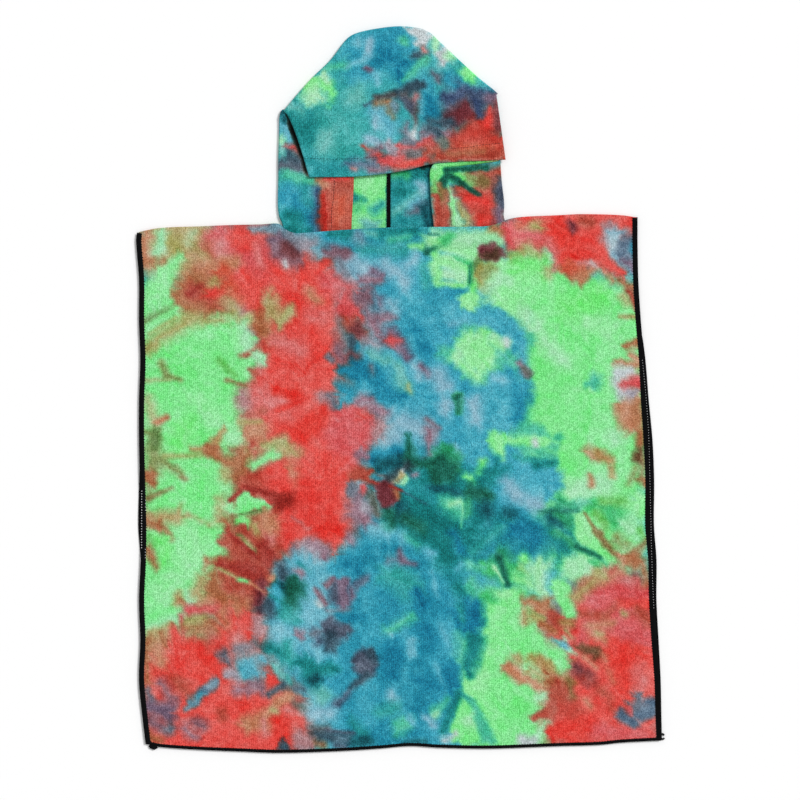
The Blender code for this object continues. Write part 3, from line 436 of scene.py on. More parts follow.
FRONT_RIGHT_TOP = (
    ("fawn", 128, 190, 40, -2, 9, 11, 10), ("coral", 146, 182, 44, 0, 9, 14, 9),
    ("tan", 112, 190, 12, -8, 6, 6, 7), ("fawn", 134, 172, 14, -2, 6, 6, 7),
    ("khaki", 160, 198, 12, -2, 4, 5, 8), ("mint", 100, 176, 20, 2, 9, 8, 7),
    ("rust", 112, 197, 12, -8, 3, 5, 5), ("coral", 131, 196, 5, -20, 7, 7, 6),
    ("red", 196, 190, 44, -14, 22, 26, 9), ("red", 192, 156, 22, 10, 8, 16, 7),
    ("sage", 158, 164, 12, -4, 9, 7, 7), ("mint", 176, 168, 8, -12, 4, 4, 5),
    ("khaki", 98, 134, 6, 8, 11, 10, 10), ("olive", 104, 138, 6, 4, 6, 6, 9),
    ("dark olive", 88, 150, 10, 11, 3, 4, 5), ("red brown", 104, 164, 12, 0, 7, 8, 5),
    ("darkest brown", 106, 161, 10, 0, 5, 6, 5), ("mint", 124, 132, -16, -20, 15, 11, 12),
    ("pea", 124, 108, 18, -6, 13, 14, 9), ("mint", 148, 92, 4, -8, 10, 8, 8),
    ("khaki", 134, 158, 10, 2, 4, 5, 7), ("green", 150, 144, 14, -2, 14, 14, 14),
    ("sage", 178, 142, 2, -4, 5, 5, 8), ("green", 205, 100, 35, 18, 15, 16, 16),
    ("pea", 226, 78, 28, -8, 14, 14, 14), ("poppy", 188, 198, 8, -6, 9, 8, 8),
    ("poppy", 208, 182, -4, -16, 11, 13, 10), ("red brown", 207, 198, 1, -6, 5, 4, 6),
    ("brick", 220, 202, 10, -2, 6, 6, 7), ("pink", 178, 176, 10, -12, 4, 5, 6),
    ("rose", 190, 150, -4, -6, 3, 3, 5), ("orange", 204, 146, 12, -4, 11, 11, 6),
    ("rust", 208, 134, 12, 2, 4, 5, 6), ("fawn", 222, 140, 12, 6, 5, 5, 6),
    ("rose", 214, 152, 22, 0, 3, 5, 5), ("pearl", 232, 152, 6, -4, 3, 3, 5),
    ("fawn", 246, 144, 10, -12, 5, 4, 6), ("blush", 252, 194, -4, -16, 6, 6, 7),
    ("lilac", 260, 188, 2, -26, 13, 14, 9), ("pearl", 262, 178, 0, -6, 6, 7, 12),
    ("slate", 280, 182, 0, -22, 8, 8, 9), ("cobalt", 282, 174, -1, -10, 4, 4, 7),
    ("steel", 274, 178, -2, -18, 6, 7, 9), ("plum", 276, 152, 6, -10, 7, 6, 7),
    ("red", 238, 162, 32, -27, 8, 6, 5), ("aqua", 272, 134, 9, 0, 2.5, 3, 3),
    ("rust", 266, 128, 16, -6, 4, 6, 6), ("brick", 276, 118, 9, -18, 4, 4, 5),
    ("sage", 268, 112, 4, -8, 5, 4, 7), ("ochre", 264, 88, 20, -1, 1, 2, 4),
    ("rust", 272, 50, 16, 5, 3, 6, 5), ("fawn", 280, 40, 8, -6, 4, 5, 5),
    ("fawn", 262, 31, 22, -3, 3, 5, 5), ("pearl", 262, 18, 20, 2, 8, 6, 7),
    ("pearl", 260, 8, 4, -8, 6, 6, 8), ("coral", 270, 8, 18, 2, 4, 8, 6),
    ("mint", 172, 60, 24, -26, 9, 9, 12), ("jade", 231, 8, 5, 6, 7, 8, 5),
    ("denim", 60, 92, 58, -8, 12, 11, 7), ("denim", 118, 84, 30, -26, 10, 9, 7),
    ("blue", 147, 58, 2, -44, 6, 6, 6), ("jade", 155, 64, 4, -8, 6, 5, 5),
    ("mint", 158, 74, 10, 4, 6, 5, 6), ("pearl", 128, 60, 2, -8, 4, 4, 6),
    ("jade", 134, 38, 4, -6, 7, 6, 6), ("mauve", 144, 32, 8, -10, 4, 5, 5),
    ("sage slate", 150, 26, 6, -6, 3, 3, 5), ("blue", 128, 10, 20, -6, 12, 10, 7),
    ("sky", 116, 14, 8, -4, 6, 6, 6), ("green", 84, 112, 6, 14, 4, 6, 5),
    ("pea", 78, 104, 7, 0, 9.5, 11, 4), ("ivy", 86, 152, -2, -26, 2.5, 3, 4),
    ("pine", 85, 150, -1, -22, 0.6, 1, 2.5),
)
FRONT_LEFT_LOW = (
    ("azure", -118, -228, 6, -72, 34, 40, 10), ("pea", -265, -225, -15, -15, 18, 20, 14),
    ("mint", -254, -250, 4, -10, 9, 7, 9), ("mint", -296, -284, 26, 8, 4, 5, 8),
    ("tan", -238, -226, -5, -20, 5, 6, 8), ("rust", -232, -206, -2, -8, 4, 3, 6),
    ("tan", -266, -246, 1, -10, 2.5, 5, 6), ("rust", -262, -254, 4, -4, 3, 3, 5),
    ("rust", -222, -228, 14, -16, 10, 16, 8), ("brick", -214, -213, 44, -9, 7, 15, 6),
    ("dark red", -190, -214, 20, -12, 5, 10, 8), ("brick", -200, -236, 24, -8, 10, 12, 8),
    ("coral", -254, -268, 34, 6, 5, 6, 6), ("fawn", -236, -256, 12, 0, 6, 6, 8),
    ("coral", -262, -272, 4, -18, 3, 4, 5), ("rust", -250, -288, 24, 3, 9, 9, 12),
    ("khaki", -254, -280, 16, 2, 4, 4, 8), ("fawn", -292, -304, 6, -26, 8, 8, 10),
    ("tan", -299, -296, 21, 6, 7, 5, 8), ("rust", -302, -306, 0, -44, 6, 5, 7),
    ("rust", -286, -292, 4, -14, 3, 2, 5), ("red", -270, -290, 4, -10, 6, 6, 6),
    ("poppy", -250, -314, 12, -16, 10, 13, 9), ("fawn", -196, -262, 12, 4, 5, 3, 8),
    ("fawn", -212, -266, 6, -18, 5, 5, 9), ("red", -180, -268, -8, -26, 5, 10, 7),
    ("rose", -196, -300, 2, -12, 8, 10, 10), ("blush", -168, -276, 0, -16, 8, 10, 8),
    ("red brown", -163, -236, -3, -22, 5, 8, 8), ("ink", -158, -258, 6, -10, 7, 5, 8),
    ("ink", -140, -210, 4, -16, 7, 9, 7), ("dark teal", -148, -231, 14, -7, 3, 8, 6),
    ("denim", -151, -240, 7, -16, 6, 8, 6), ("pine", -124, -238, -6, -24, 11, 8, 7),
    ("petrol", -154, -248, 24, -14, 1.5, 2, 4), ("fawn", -157, -228, 5, 1, 2.5, 3, 3.5),
    ("lime", -193, -228, 11, -3, 3, 2.5, 3), ("sage", -216, -216, 20, -10, 2, 1, 3),
    ("fawn", -180, -232, 17, -11, 1.5, 0.6, 2), ("mauve", -120, -217, 2, -3, 6, 6, 6),
    ("petrol", -120, -208, 16, -14, 1.5, 2, 4), ("sea", -136, -270, 10, -3, 10, 9, 9),
    ("sky", -146, -288, 6, -14, 9, 9, 9), ("mauve", -121, -292, 3, -1, 6, 6, 4),
    ("steel", -100, -290, 3, -14, 6, 7, 7), ("umber", -174, -302, 14, -8, 4, 6, 6),
    ("petrol", -154, -312, 12, -6, 7, 7, 7), ("sea", -134, -306, 4, -20, 6, 7, 8),
    ("petrol", -114, -330, 10, -14, 8, 13, 8), ("azure", -180, -326, 14, -14, 15, 11, 13),
    ("slate", -196, -312, 18, 4, 4, 5, 9), ("ash", -200, -340, 8, -8, 5, 4, 7),
    ("azure", -166, -322, 8, -3, 6, 6, 7), ("denim", -190, -334, 4, -10, 5, 6, 7),
    ("aqua", -148, -330, 8, -12, 5, 5, 6), ("slate", -211, -320, 3, -6, 6, 7, 8),
    ("ash", -208, -340, 10, -2, 5, 4, 5), ("red", -152, -342, 2, -10, 2, 9, 4),
    ("ink", -158, -366, 19, 12, 2.5, 3, 4), ("sea", -134, -346, 4, -8, 4, 4, 5),
    ("ink", -136, -361, 18, 0, 2.5, 5, 5), ("mauve", -196, -358, 12, -6, 6, 8, 7),
    ("wine", -176, -356, 12, -6, 7, 7, 7), ("poppy", -186, -374, 16, -9, 8, 5, 8),
    ("slate", -222, -351, -10, -9, 6, 4, 4), ("smoke", -224, -353, -10, -9, 4, 4, 5),
    ("steel", -234, -363, -12, -11, 3, 7, 5), ("denim", -236, -364, -12, -13, 2, 5, 5),
    ("smoke", -246, -374, -9, -10, 5, 2.5, 4), ("brick", -270, -350, 14, -12, 7, 7, 9),
    ("wine", -286, -352, 12, -18, 6, 7, 9), ("slate", -303, -362, 5, -12, 3, 6, 7),
    ("plum", -304, -382, 26, -6, 6, 11, 9), ("wine", -298, -400, 12, -8, 8, 7, 9),
    ("slate", -278, -408, 4, -3, 6, 6, 7), ("mauve", -256, -408, 8, -6, 8, 8, 9),
    ("wine", -244, -402, 8, -4, 5, 5, 9), ("rust", -300, -418, 14, -4, 5, 3, 6),
    ("brick", -213, -386, 2, -8, 5, 4, 7), ("fawn", -186, -402, 28, 6, 9, 11, 9),
    ("fawn", -146, -374, 16, 4, 7, 7, 7), ("sage", -152, -385, 3, -4, 5, 5, 6),
    ("rose", -162, -400, 2, -12, 6, 5, 7), ("poppy", -144, -402, 8, -10, 10, 9, 8),
    ("rose", -134, -386, 16, -4, 6, 5, 8), ("sage slate", -126, -377, 10, -3, 2, 4, 8),
    ("rose", -124, -408, 4, -14, 4, 5, 7), ("ink", -138, -422, 0, -9, 2, 7, 4),
    ("ash", -120, -428, 6, 0, 5, 5, 6), ("azure", -108, -368, 8, -20, 10, 12, 8),
    ("dark red", -216, -209, 46, -12, 1.5, 5, 3),
)
FRONT_MIDDLE_LOW = (
    ("rich blue", -10, -240, -10, -160, 56, 50, 16), ("sea", -10, -222, 20, -14, 16, 14, 16),
    ("azure", -100, -226, 2, -8, 14, 12, 10), ("sky", -108, -262, 4, -14, 15, 15, 12),
    ("cobalt", -64, -210, 8, -6, 11, 10, 8), ("smoke", -12, -204, 14, -2, 5, 6, 7),
    ("plum", 1, -193, 3, -12, 3, 4, 5), ("plum", 6, -207, 13, -4, 4, 3, 5),
    ("wine", -88, -236, 8, 8, 3, 4, 4), ("plum", -76, -228, 10, -4, 4, 7, 5),
    ("plum", -70, -236, 2, -20, 8, 9, 5), ("plum", -57, -242, 1, -8, 4, 4, 5),
    ("grape", -79, -238, 1, -14, 4, 5, 6), ("wine", -100, -241, 10, -16, 4, 4, 4),
    ("pearl", -98, -256, 3, -4, 3, 3, 4), ("steel", -52, -237, 11, 9, 5, 4, 5),
    ("slate", -86, -264, 24, 0, 3, 4, 5), ("cobalt", -68, -273, 24, 3, 5, 4, 6),
    ("grape", -88, -284, 8, 8, 5, 5, 5), ("grape", -76, -292, 12, 1, 12, 9, 5),
    ("ink", -82, -300, 2, -8, 8, 6, 7), ("slate", -101, -293, 5, 0, 5, 4, 6),
    ("grape", -46, -327, 8, 5, 9, 9, 5), ("ink", -37, -314, 5, -12, 3, 6, 5),
    ("grape", -40, -334, 2, -8, 10, 7, 6), ("ink", -37, -344, -21, -17, 6, 2.5, 5),
    ("steel", -60, -362, -16, -15, 2.5, 5, 5), ("cobalt", -10, -308, 0, -24, 11, 13, 10),
    ("jade", -14, -287, 28, 14, 5, 7, 7), ("sky", -9, -294, 1, -3, 4, 3, 4),
    ("sky", 14, -300, 0, -20, 5, 6, 6), ("cobalt", 18, -245, 10, -15, 5, 6, 6),
    ("azure", 39, -220, 5, -26, 3, 4, 6), ("cobalt", 30, -288, 10, -14, 7, 7, 8),
    ("azure", 50, -284, 8, -16, 5, 6, 8), ("petrol", 76, -238, 12, -38, 11, 9, 10),
    ("jade", 87, -232, 2, -6, 7, 7, 6), ("jade", 84, -210, 14, -4, 7, 7, 7),
    ("azure", 71, -214, 3, 6, 4, 4, 6), ("cobalt", 60, -264, 10, -18, 3, 4, 6),
    ("cobalt", 60, -336, 4, -16, 11, 10, 8), ("azure", 44, -330, 8, -22, 3, 3, 6),
    ("cobalt", 26, -352, 16, -5, 7, 6, 9), ("pea", 94, -344, -6, -24, 14, 14, 5),
    ("lime", 82, -382, -4, -30, 12, 17, 5), ("sea", 78, -368, 12, -10, 1.5, 2, 4),
    ("jade", 42, -386, 13, 11, 6, 4, 6), ("mint", 42, -392, 4, 4, 4, 4, 6),
    ("lilac", 32, -396, 10, -10, 4, 5, 6), ("petrol", 72, -366, -20, -46, 4, 4, 5),
    ("pearl", 56, -420, 10, 6, 6, 4, 6), ("jade", 2, -404, 6, 2, 10, 9, 9),
    ("sky", 14, -394, 4, -6, 4, 4, 6), ("dark teal", 8, -424, 24, 0, 2, 3, 6),
    ("petrol", -98, -340, 16, 4, 7, 7, 7), ("dark teal", -106, -352, 8, 4, 4, 5, 6),
    ("aqua", -98, -366, 6, -4, 11, 10, 9), ("lilac", -102, -390, 20, 2, 8, 7, 9),
    ("lilac", -10, -364, 4, -10, 6, 7, 8), ("sea", -24, -390, 20, 8, 5, 5, 9),
    ("petrol", -58, -398, 14, -16, 4, 7, 8), ("blush", -120, -418, 12, -6, 9, 7, 7),
    ("rust", -98, -424, 6, -3, 4, 4, 6), ("umber", -102, -411, 16, 3, 5, 5, 6),
    ("grape", -86, -409, 30, -3, 3, 2.5, 4), ("ink", -96, -417, 36, -3, 4, 6, 7),
    ("smoke", -72, -420, 8, 0, 3, 3, 6), ("grape", -78, -428, 12, -1, 3, 3, 5),
    ("dark teal", -56, -424, 18, 2, 5, 5, 6),
)
FRONT_RIGHT_LOW = (
    ("coral", 252, -248, 16, -14, 34, 40, 10), ("coral", 290, -250, 2, -50, 20, 20, 12),
    ("lime", 184, -330, -54, 30, 20, 30, 12), ("lime", 125, -390, 15, -10, 35, 28, 12),
    ("lime", 126, -262, 0, -38, 22, 24, 12), ("cobalt", 86, -258, 0, -28, 10, 11, 8),
    ("petrol", 90, -300, -6, -38, 8, 5, 7), ("ivy", 108, -214, 38, -8, 10, 12, 9),
    ("pine", 120, -200, 11, -34, 4, 3, 5), ("mint", 114, -212, 12, -19, 3.5, 1, 3),
    ("leaf", 146, -212, 9, -8, 5, 3, 5), ("ivy", 104, -246, 8, -4, 5, 5, 6),
    ("pea", 122, -246, 12, 3, 5, 5, 5), ("pea", 142, -226, 14, -6, 7, 8, 8),
    ("mint", 170, -216, 3, -26, 13, 11, 9), ("mint", 206, -214, 12, 0, 12, 12, 10),
    ("lime", 194, -238, 11, -28, 13, 10, 5), ("ivy", 232, -206, 7, -7, 4, 3, 4),
    ("rust", 152, -256, 24, -2, 5, 9, 7), ("fawn", 162, -262, 12, -2, 7, 7, 7),
    ("tan", 148, -268, 2, -12, 4, 5, 6), ("khaki", 160, -274, 12, -2, 5, 5, 5),
    ("rust", 174, -284, 12, -6, 5, 6, 5), ("brick", 182, -270, 20, -14, 7, 5, 4),
    ("ochre", 196, -280, 14, -2, 4, 4, 5), ("aqua", 186, -301, 10, -4, 2, 5, 4),
    ("azure", 198, -306, 5, -4, 4, 3, 4), ("sage", 200, -289, 11, -14, 3, 3, 5),
    ("mint", 197, -297, 4, -4, 3, 2, 4), ("mint", 204, -312, 10, -6, 3, 1.5, 4),
    ("coral", 220, -282, 0, -18, 7, 9, 7), ("tan", 212, -250, 28, 24, 6, 6, 9),
    ("fawn", 244, -230, 24, 10, 5, 5, 9), ("sage", 236, -219, 10, -3, 5, 4, 7),
    ("rust", 292, -210, 5, -22, 7, 7, 8), ("rose", 268, -228, 14, -3, 4, 4, 7),
    ("brick", 217, -268, 29, -2, 4, 5, 6), ("brick", 246, -270, 18, 14, 5, 4, 6),
    ("red", 264, -256, 36, -4, 4, 8, 6), ("brick", 284, -268, 16, -14, 5, 7, 7),
    ("tan", 269, -269, 3, -2, 4, 4, 5), ("fawn", 226, -284, 26, 4, 6, 6, 8),
    ("fawn", 236, -296, 12, -10, 7, 5, 8), ("sage", 238, -292, 4, -1, 3, 3, 5),
    ("red", 232, -325, 23, -30, 20, 30, 10), ("dark brown", 216, -309, 20, -8, 4, 6, 6),
    ("maroon", 212, -334, 16, -12, 7, 8, 8), ("dark red", 222, -346, 10, -6, 6, 6, 8),
    ("fawn", 222, -322, 14, -12, 3, 3, 6), ("fawn", 245, -318, 13, -32, 3, 3, 7),
    ("poppy", 260, -328, 12, -24, 11, 9, 7), ("poppy", 274, -312, 17, -4, 9, 9, 7),
    ("pink", 286, -342, 4, -10, 12, 13, 12), ("brick", 244, -366, 6, -10, 8, 8, 8),
    ("red", 236, -378, -12, -22, 12, 14, 10), ("fawn", 226, -374, 4, -6, 5, 5, 8),
    ("poppy", 186, -412, 32, 8, 9, 13, 6), ("coral", 240, -410, 56, -6, 10, 8, 10),
    ("slate", 286, -369, 6, -15, 8, 12, 5), ("slate", 274, -376, 6, -4, 4, 5, 5),
    ("steel", 296, -376, 10, -4, 5, 6, 5), ("steel", 268, -390, 18, -13, 6, 5, 5),
    ("steel", 290, -392, 15, 7, 7, 8, 5), ("coral", 277, -383, 3, -8, 2.5, 2.5, 3),
    ("tan", 140, -320, 4, -5, 4, 4, 6), ("fawn", 134, -334, 14, -12, 8, 7, 6),
    ("fawn", 154, -350, 14, -10, 7, 10, 6), ("khaki", 160, -323, 18, -10, 5, 8, 5),
    ("ochre", 168, -326, 14, -12, 5, 7, 6), ("tan", 158, -336, 14, -8, 6, 7, 7),
    ("rust", 182, -345, 14, -7, 8, 12, 7), ("brick", 192, -360, 10, -18, 10, 11, 8),
    ("brown", 204, -350, 4, -20, 3, 3, 6), ("deep red", 188, -384, 22, -4, 8, 10, 9),
    ("brick", 161, -394, 23, 8, 1, 7, 4), ("mint", 166, -371, 8, 4, 5, 5, 6),
    ("lime", 192, -322, 6, -8, 10, 6, 5), ("mint", 174, -400, -9, -20, 3, 6, 5),
    ("pearl", 148, -422, 12, -2, 6, 6, 7), ("jade", 86, -374, 20, -44, 2, 7, 5),
    ("mint", 85, -396, 1, -4, 7, 7, 8),
)
FRONT_DYE = FRONT_GROUND + FRONT_LEFT_TOP + FRONT_NECK + FRONT_LEFT_MIDDLE + FRONT_MIDDLE
FRONT_DYE += FRONT_RIGHT_MIDDLE + FRONT_RIGHT_TOP + FRONT_LEFT_LOW + FRONT_MIDDLE_LOW + FRONT_RIGHT_LOW
CROWN_DYE = (
    ("pool", 0, 0, 0, 0, 2000, 2000, 20), ("sea", -90, 335, 28, -45, 38, 34, 20),
    ("blue", -52, 412, 62, 13, 18, 22, 16), ("denim", -52, 374, 18, 6, 12, 12, 10),
    ("petrol", -112, 318, 8, -30, 13, 10, 10), ("petrol", -122, 334, 10, -4, 9, 9, 8),
    ("teal", -100, 268, 38, 0, 13, 11, 10), ("mint", -106, 362, 4, -10, 13, 12, 8),
    ("lime", -88, 362, 4, -12, 10, 8, 7), ("mint", -88, 376, 4, -6, 8, 6, 6),
    ("pea", -104, 374, -6, -8, 6, 5, 5), ("sea", -92, 348, 4, -4, 7, 7, 6),
    ("jade", -84, 386, 24, 2, 4, 3, 5), ("aqua", -86, 300, -4, -10, 13, 12, 10),
    ("mint", -100, 352, 8, -6, 9, 7, 7), ("aqua", -128, 342, 8, -4, 7, 6, 6),
    ("sky", -50, 417, 0, -2, 6, 6, 6), ("lilac", -37, 416, -1, -16, 6, 5, 5),
    ("sky", -40, 398, -22, -12, 4, 2, 5), ("jade", 5, 417, 3, -1, 5, 4, 5),
    ("aqua", -50, 352, -6, -4, 12, 11, 12), ("cobalt", -14, 396, 14, -10, 15, 15, 12),
    ("plum", -39, 387, 5, -3, 3, 3, 4), ("sky", -28, 378, 2, -10, 4, 4, 5),
    ("pearl", 8, 434, 18, -6, 3, 9, 5), ("pearl", 22, 416, 14, 6, 6, 6, 5),
    ("rose", 29, 409, 1, -4, 5, 5, 5), ("ink", 20, 401, 10, -3, 5, 5, 5),
    ("mint", 45, 418, -2, -10, 5, 5, 5), ("pearl", 54, 406, 2, -14, 8, 7, 6),
    ("mint", 62, 400, 4, -4, 5, 4, 5), ("jade", 10, 373, 21, 23, 4, 6, 5),
    ("sea", 68, 386, 4, -4, 7, 6, 6), ("lime", 78, 381, 10, -7, 6, 6, 6),
    ("cobalt", 60, 376, 8, -6, 8, 7, 7), ("slate", 44, 377, 3, -6, 6, 5, 6),
    ("cobalt", 38, 350, 4, -20, 11, 13, 10), ("azure", 26, 346, 0, -14, 4, 4, 6),
    ("denim", 30, 370, 4, -10, 8, 8, 8), ("steel", 68, 362, -8, -20, 9, 8, 8),
    ("night slate", 72, 358, 36, -4, 8, 6, 8), ("grape", 74, 350, 38, -2, 8, 7, 7),
    ("red brown", 62, 324, 22, 8, 11, 14, 10), ("night slate", 56, 350, 16, 2, 5, 5, 7),
    ("deep red", 78, 300, 20, 12, 12, 18, 10), ("red", 110, 332, 3, -10, 9, 10, 6),
    ("deep red", 68, 296, 42, -6, 15, 18, 9), ("orange", 84, 288, 28, -4, 10, 10, 8),
    ("maroon", 116, 348, 3, -36, 5, 3, 5), ("night slate", 93, 345, 4, -15, 6, 5, 6),
    ("plum", 106, 350, 11, 2, 6, 5, 5), ("ink", 60, 322, -24, 0, 5, 3, 7),
    ("mauve", 30, 311, 28, -4, 5, 6, 9), ("mauve", 30, 300, 16, 6, 6, 5, 7),
    ("ink", -42, 340, 15, 7, 0.8, 2, 3), ("umber", -27, 349, 29, 5, 3, 3.5, 4),
    ("ink", 2, 355, 22, 11, 5, 5, 5), ("umber", -24, 338, 14, 0, 6, 6, 6),
    ("rust", -28, 343, 15, 1, 3, 4, 4), ("rust", -12, 334, 4, -8, 4, 3, 4),
    ("smoke", -6, 344, 2, -8, 5, 4, 6), ("umber", 6, 352, 9, -14, 6, 6, 5),
    ("umber", 15, 338, 3, -20, 5, 3, 5), ("blush", 16, 342, 6, 10, 3, 4, 5),
    ("azure", -26, 330, 12, -18, 12, 12, 10), ("lilac", -32, 320, 2, -6, 6, 5, 6),
    ("lilac", -36, 300, 8, -2, 8, 7, 6), ("slate", 6, 314, 6, -8, 6, 6, 6),
    ("pearl", 18, 309, 0, -9, 6, 5, 4), ("red", -42, 292, 18, -12, 2, 5, 5),
    ("wine", -24, 290, -10, -8, 5, 6, 6), ("coral", -26, 272, 26, 4, 7, 10, 8),
    ("red", 0, 266, 26, 8, 8, 10, 8), ("coral", 2, 290, 34, 2, 6, 8, 6),
    ("brick", 36, 286, 24, 4, 9, 10, 8), ("slate", 6, 298, 8, -1, 5, 5, 5),
    ("sage slate", 50, 300, 3, -6, 5, 6, 5), ("umber", 16, 281, 8, 2, 6, 5, 5),
    ("steel", -58, 270, 24, -2, 7, 7, 7), ("rose", -56, 264, 4, -1, 3, 3, 4),
    ("mauve", -34, 262, 18, 2, 5, 4, 6), ("brick", 46, 274, 78, 4, 7, 8, 6),
    ("rust", 60, 282, 40, 2, 3, 4, 7), ("petrol", -130, 320, 14, -18, 7, 8, 8),
    ("ink", 34, 314, 12, -6, 5, 6, 6), ("grape", 6, 346, 8, -8, 4, 5, 5),
    ("ash", -14, 296, 8, -10, 6, 6, 6), ("rich blue", 58, 372, 6, -8, 5, 5, 6),
)
CHEEK_DYE = (
    ("pool", 0, 0, 0, 0, 2000, 2000, 20), ("azure", -132, 316, -2, -10, 13, 10, 8),
    ("mint", -142, 300, 0, -12, 5, 5, 6), ("coral", -138, 292, 16, -2, 2, 6, 5),
    ("red", -122, 288, 14, -28, 6, 4, 5), ("ink", -130, 278, 6, -6, 8, 8, 8),
    ("aqua", -142, 288, 2, -8, 5, 4, 6), ("dark teal", -143, 334, 5, -8, 5, 5, 5),
    ("slate", -142, 268, 22, -4, 6, 6, 7), ("jade", -130, 258, 18, -6, 8, 7, 7),
    ("cobalt", -124, 226, 6, -20, 13, 14, 12), ("blue", -138, 236, 0, -14, 9, 8, 9),
    ("petrol", -128, 200, 6, -6, 12, 12, 10), ("night slate", -101, 240, 2, -48, 4, 5, 10),
    ("brick", -71, 262, 0, -82, 24, 24, 5), ("fawn", -102, 252, 12, -5, 4, 5, 6),
    ("red", -86, 256, 24, 0, 5, 5, 5), ("orange", -74, 222, 2, -16, 10, 9, 10),
    ("deep red", -88, 234, 1, -44, 5, 7, 7), ("deep red", 96, 236, 8, -22, 26, 24, 10),
    ("brick", 50, 236, 0, -46, 12, 12, 6), ("brown", 50, 240, -2, -14, 6, 5, 8),
    ("leaf", 44, 262, -2, -26, 9, 5, 5), ("lime", 50, 266, 20, -4, 12, 9, 5),
    ("brick", 76, 240, 32, 8, 8, 13, 8), ("brick", 100, 262, 18, 0, 9, 9, 7),
    ("lime", 68, 260, 20, -8, 3, 6, 4), ("olive", 84, 255, 8, -5, 5, 5, 6),
    ("brown", 96, 254, 8, -6, 5, 5, 6), ("pine", 56, 262.5, 48, 4, 2.2, 2.6, 3),
    ("pine", 59, 258, -4, -10, 3, 4, 4), ("pine", 62, 255, 34, -22, 3.2, 1.2, 3),
    ("red", 82, 228, 24, -6, 5, 5, 8), ("poppy", 98, 200, 10, 4, 5, 5, 6),
    ("grape", 122, 248, 2, -28, 6, 6, 7), ("plum", 120, 214, 2, -14, 6, 7, 7),
    ("pea", 61, 246, 5, -24, 2, 5, 4), ("pea", 66, 222, 4, -22, 4, 7, 5),
    ("khaki", 72, 224, 6, -16, 2, 4, 5), ("mint", 69, 206, 2, -10, 5, 6, 5),
    # Painted shadow: the two near-black fold rows on this line and the next darken the cheek where the
    # crown layer's left edge shades it.
    ("khaki", 84, 204, -2, -12, 6, 7, 7), ("painted fold shadow", -134, 334, 6.5, -22, 2.5, 4, 2.5),
    ("painted fold shadow", -127.5, 312, 16.5, -50, 4, 0.8, 2.5), ("jade", -122, 254, 16, -2, 5, 5, 6),
    ("teal", -112, 240, 2, -14, 6, 6, 6), ("brick", 42, 230, 2, -34, 4, 5, 3),
)
LIP_DYE = (
    ("lime", 0, 0, 0, 0, 2000, 2000, 20), ("leaf", 84, 280, 16, 0, 12, 12, 12),
    ("khaki", 112, 280, 12, 0, 10, 12, 10),
)
LINING_DYE = (
    ("teal", 0, 0, 0, 0, 2000, 2000, 20), ("lime", -40, 260, 0, -80, 27, 27, 2),
    ("pea", -38, 250, 4, -6, 12, 10, 10), ("petrol", -54, 230, 10, -2, 5, 3, 6),
    ("sea", -32, 216, 12, 8, 6, 6, 6), ("aqua", -38, 198, 8, -2, 10, 9, 8),
    ("ivy", -8, 258, 18, -2, 5, 5, 7), ("petrol", 2, 246, 6, -6, 9, 9, 8),
    ("petrol", 20, 262, 10, -4, 10, 9, 8), ("aqua", -7, 212, 31, 24, 5, 6, 6),
    ("lilac", 24, 248, 6, -8, 6, 6, 7), ("azure", 14, 222, 10, 6, 5, 6, 6),
    ("grape", 22, 216, 12, 6, 5, 6, 7), ("dark teal", 34, 214, 4, -18, 6, 9, 8),
    ("slate", 12, 210, 10, 2, 4, 5, 6), ("teal", 4, 196, 16, 0, 8, 8, 8),
    # Painted shadow: the near-black fold row on the next line darkens the gap under the brim.
    ("dark teal", 38, 256, 2, -66, 4, 3, 6), ("painted fold shadow", 28, 269, 18, 4, 2, 4, 4),
    ("ivy", -52, 216, 6, 8, 5, 5, 5),
)

BLEED = 2.0                       # how much further than its table says a dye's border spreads
FOLD_SPACING = 7.0                # between the folds that the dye ran along
FOLD_REACH = 7.0                  # how far the dye ran along them
NARROW_REACH = 0.5                # how far the dye ran out of a narrow patch, as a share of its width
FOLD_DEPTH = 0.3                  # how unevenly a patch took its dye from fold to fold
FOLD_STRETCH = 0.22               # how fast the folds change on the way out of a patch
FOLD_WAVES = ((0.6, FOLD_SPACING, 50), (0.4, FOLD_SPACING / 2, 51))
PATCH_STEP = 61.0                 # between two patches' places in the folds' noise
FAN_WIDTH = 60.0                  # the widest patch that the folds fan out for
WIDE_DRIFT = ((2.6, 26.0, 0), (2.2, 12.0, 10))    # of a patch's border
SMALL_DRIFT = ((1.8, 6.5, 20), (1.2, 3.6, 30))
WIDE_DRIFT_WIDTH = 14.0           # a patch of this width or more drifts as far as the wide noise says
SMALL_DRIFT_WIDTH = 7.0
DRIFT_MARGIN = 12.0               # round a patch, for the drift of its border

# Overlocking
OVERLOCK_WIDTH = 7.9
HEM_OVERLOCK_WIDTH = 4.9
OVERLOCK_OUT = 0.3                # how far it stands out past the panel's edge
OVERLOCK_THREAD = 0.6             # thickness of the thread of its turns
OVERLOCK_OVER = 1.1               # how far it reaches past the cut edge of the cloth inside it
EDGE_PRESS = 0.2                  # thickness left in the cloth under it, as a share
EDGE_RAMP = 3.5                   # over which the cloth swells to its full thickness beside it
PURL_RISE = 0.75                  # of the purls above the middle of the panel's edge
# The purls along these paths are pale grey: a painted highlight on the black overlocking.
LEFT_PURLS = (((-309.2, -122), (-309.3, -156), (-309.4, -190)),)
INNER_LEFT_PURLS = (((-304.6, -133), (-304.6, -145)), ((-304.8, -192), (-304.8, -202)))
RIGHT_PURLS = (
    ((291.8, 35), (293.4, 19), (295.5, -2), (298.9, -47), (300.6, -100), (303.0, -200), (305.4, -262)),
)
PURLS = (
    # piece, paths, half width of a purl
    ("left_purls", LEFT_PURLS, 0.6),
    ("inner_left_purls", INNER_LEFT_PURLS, 0.5),
    ("right_purls", RIGHT_PURLS, 0.4),
)
KNOT_PATH = ((-291.5, -428.4, 1.8), (-295.0, -430.0, 1.9), (-299.0, -427.6, 1.6))
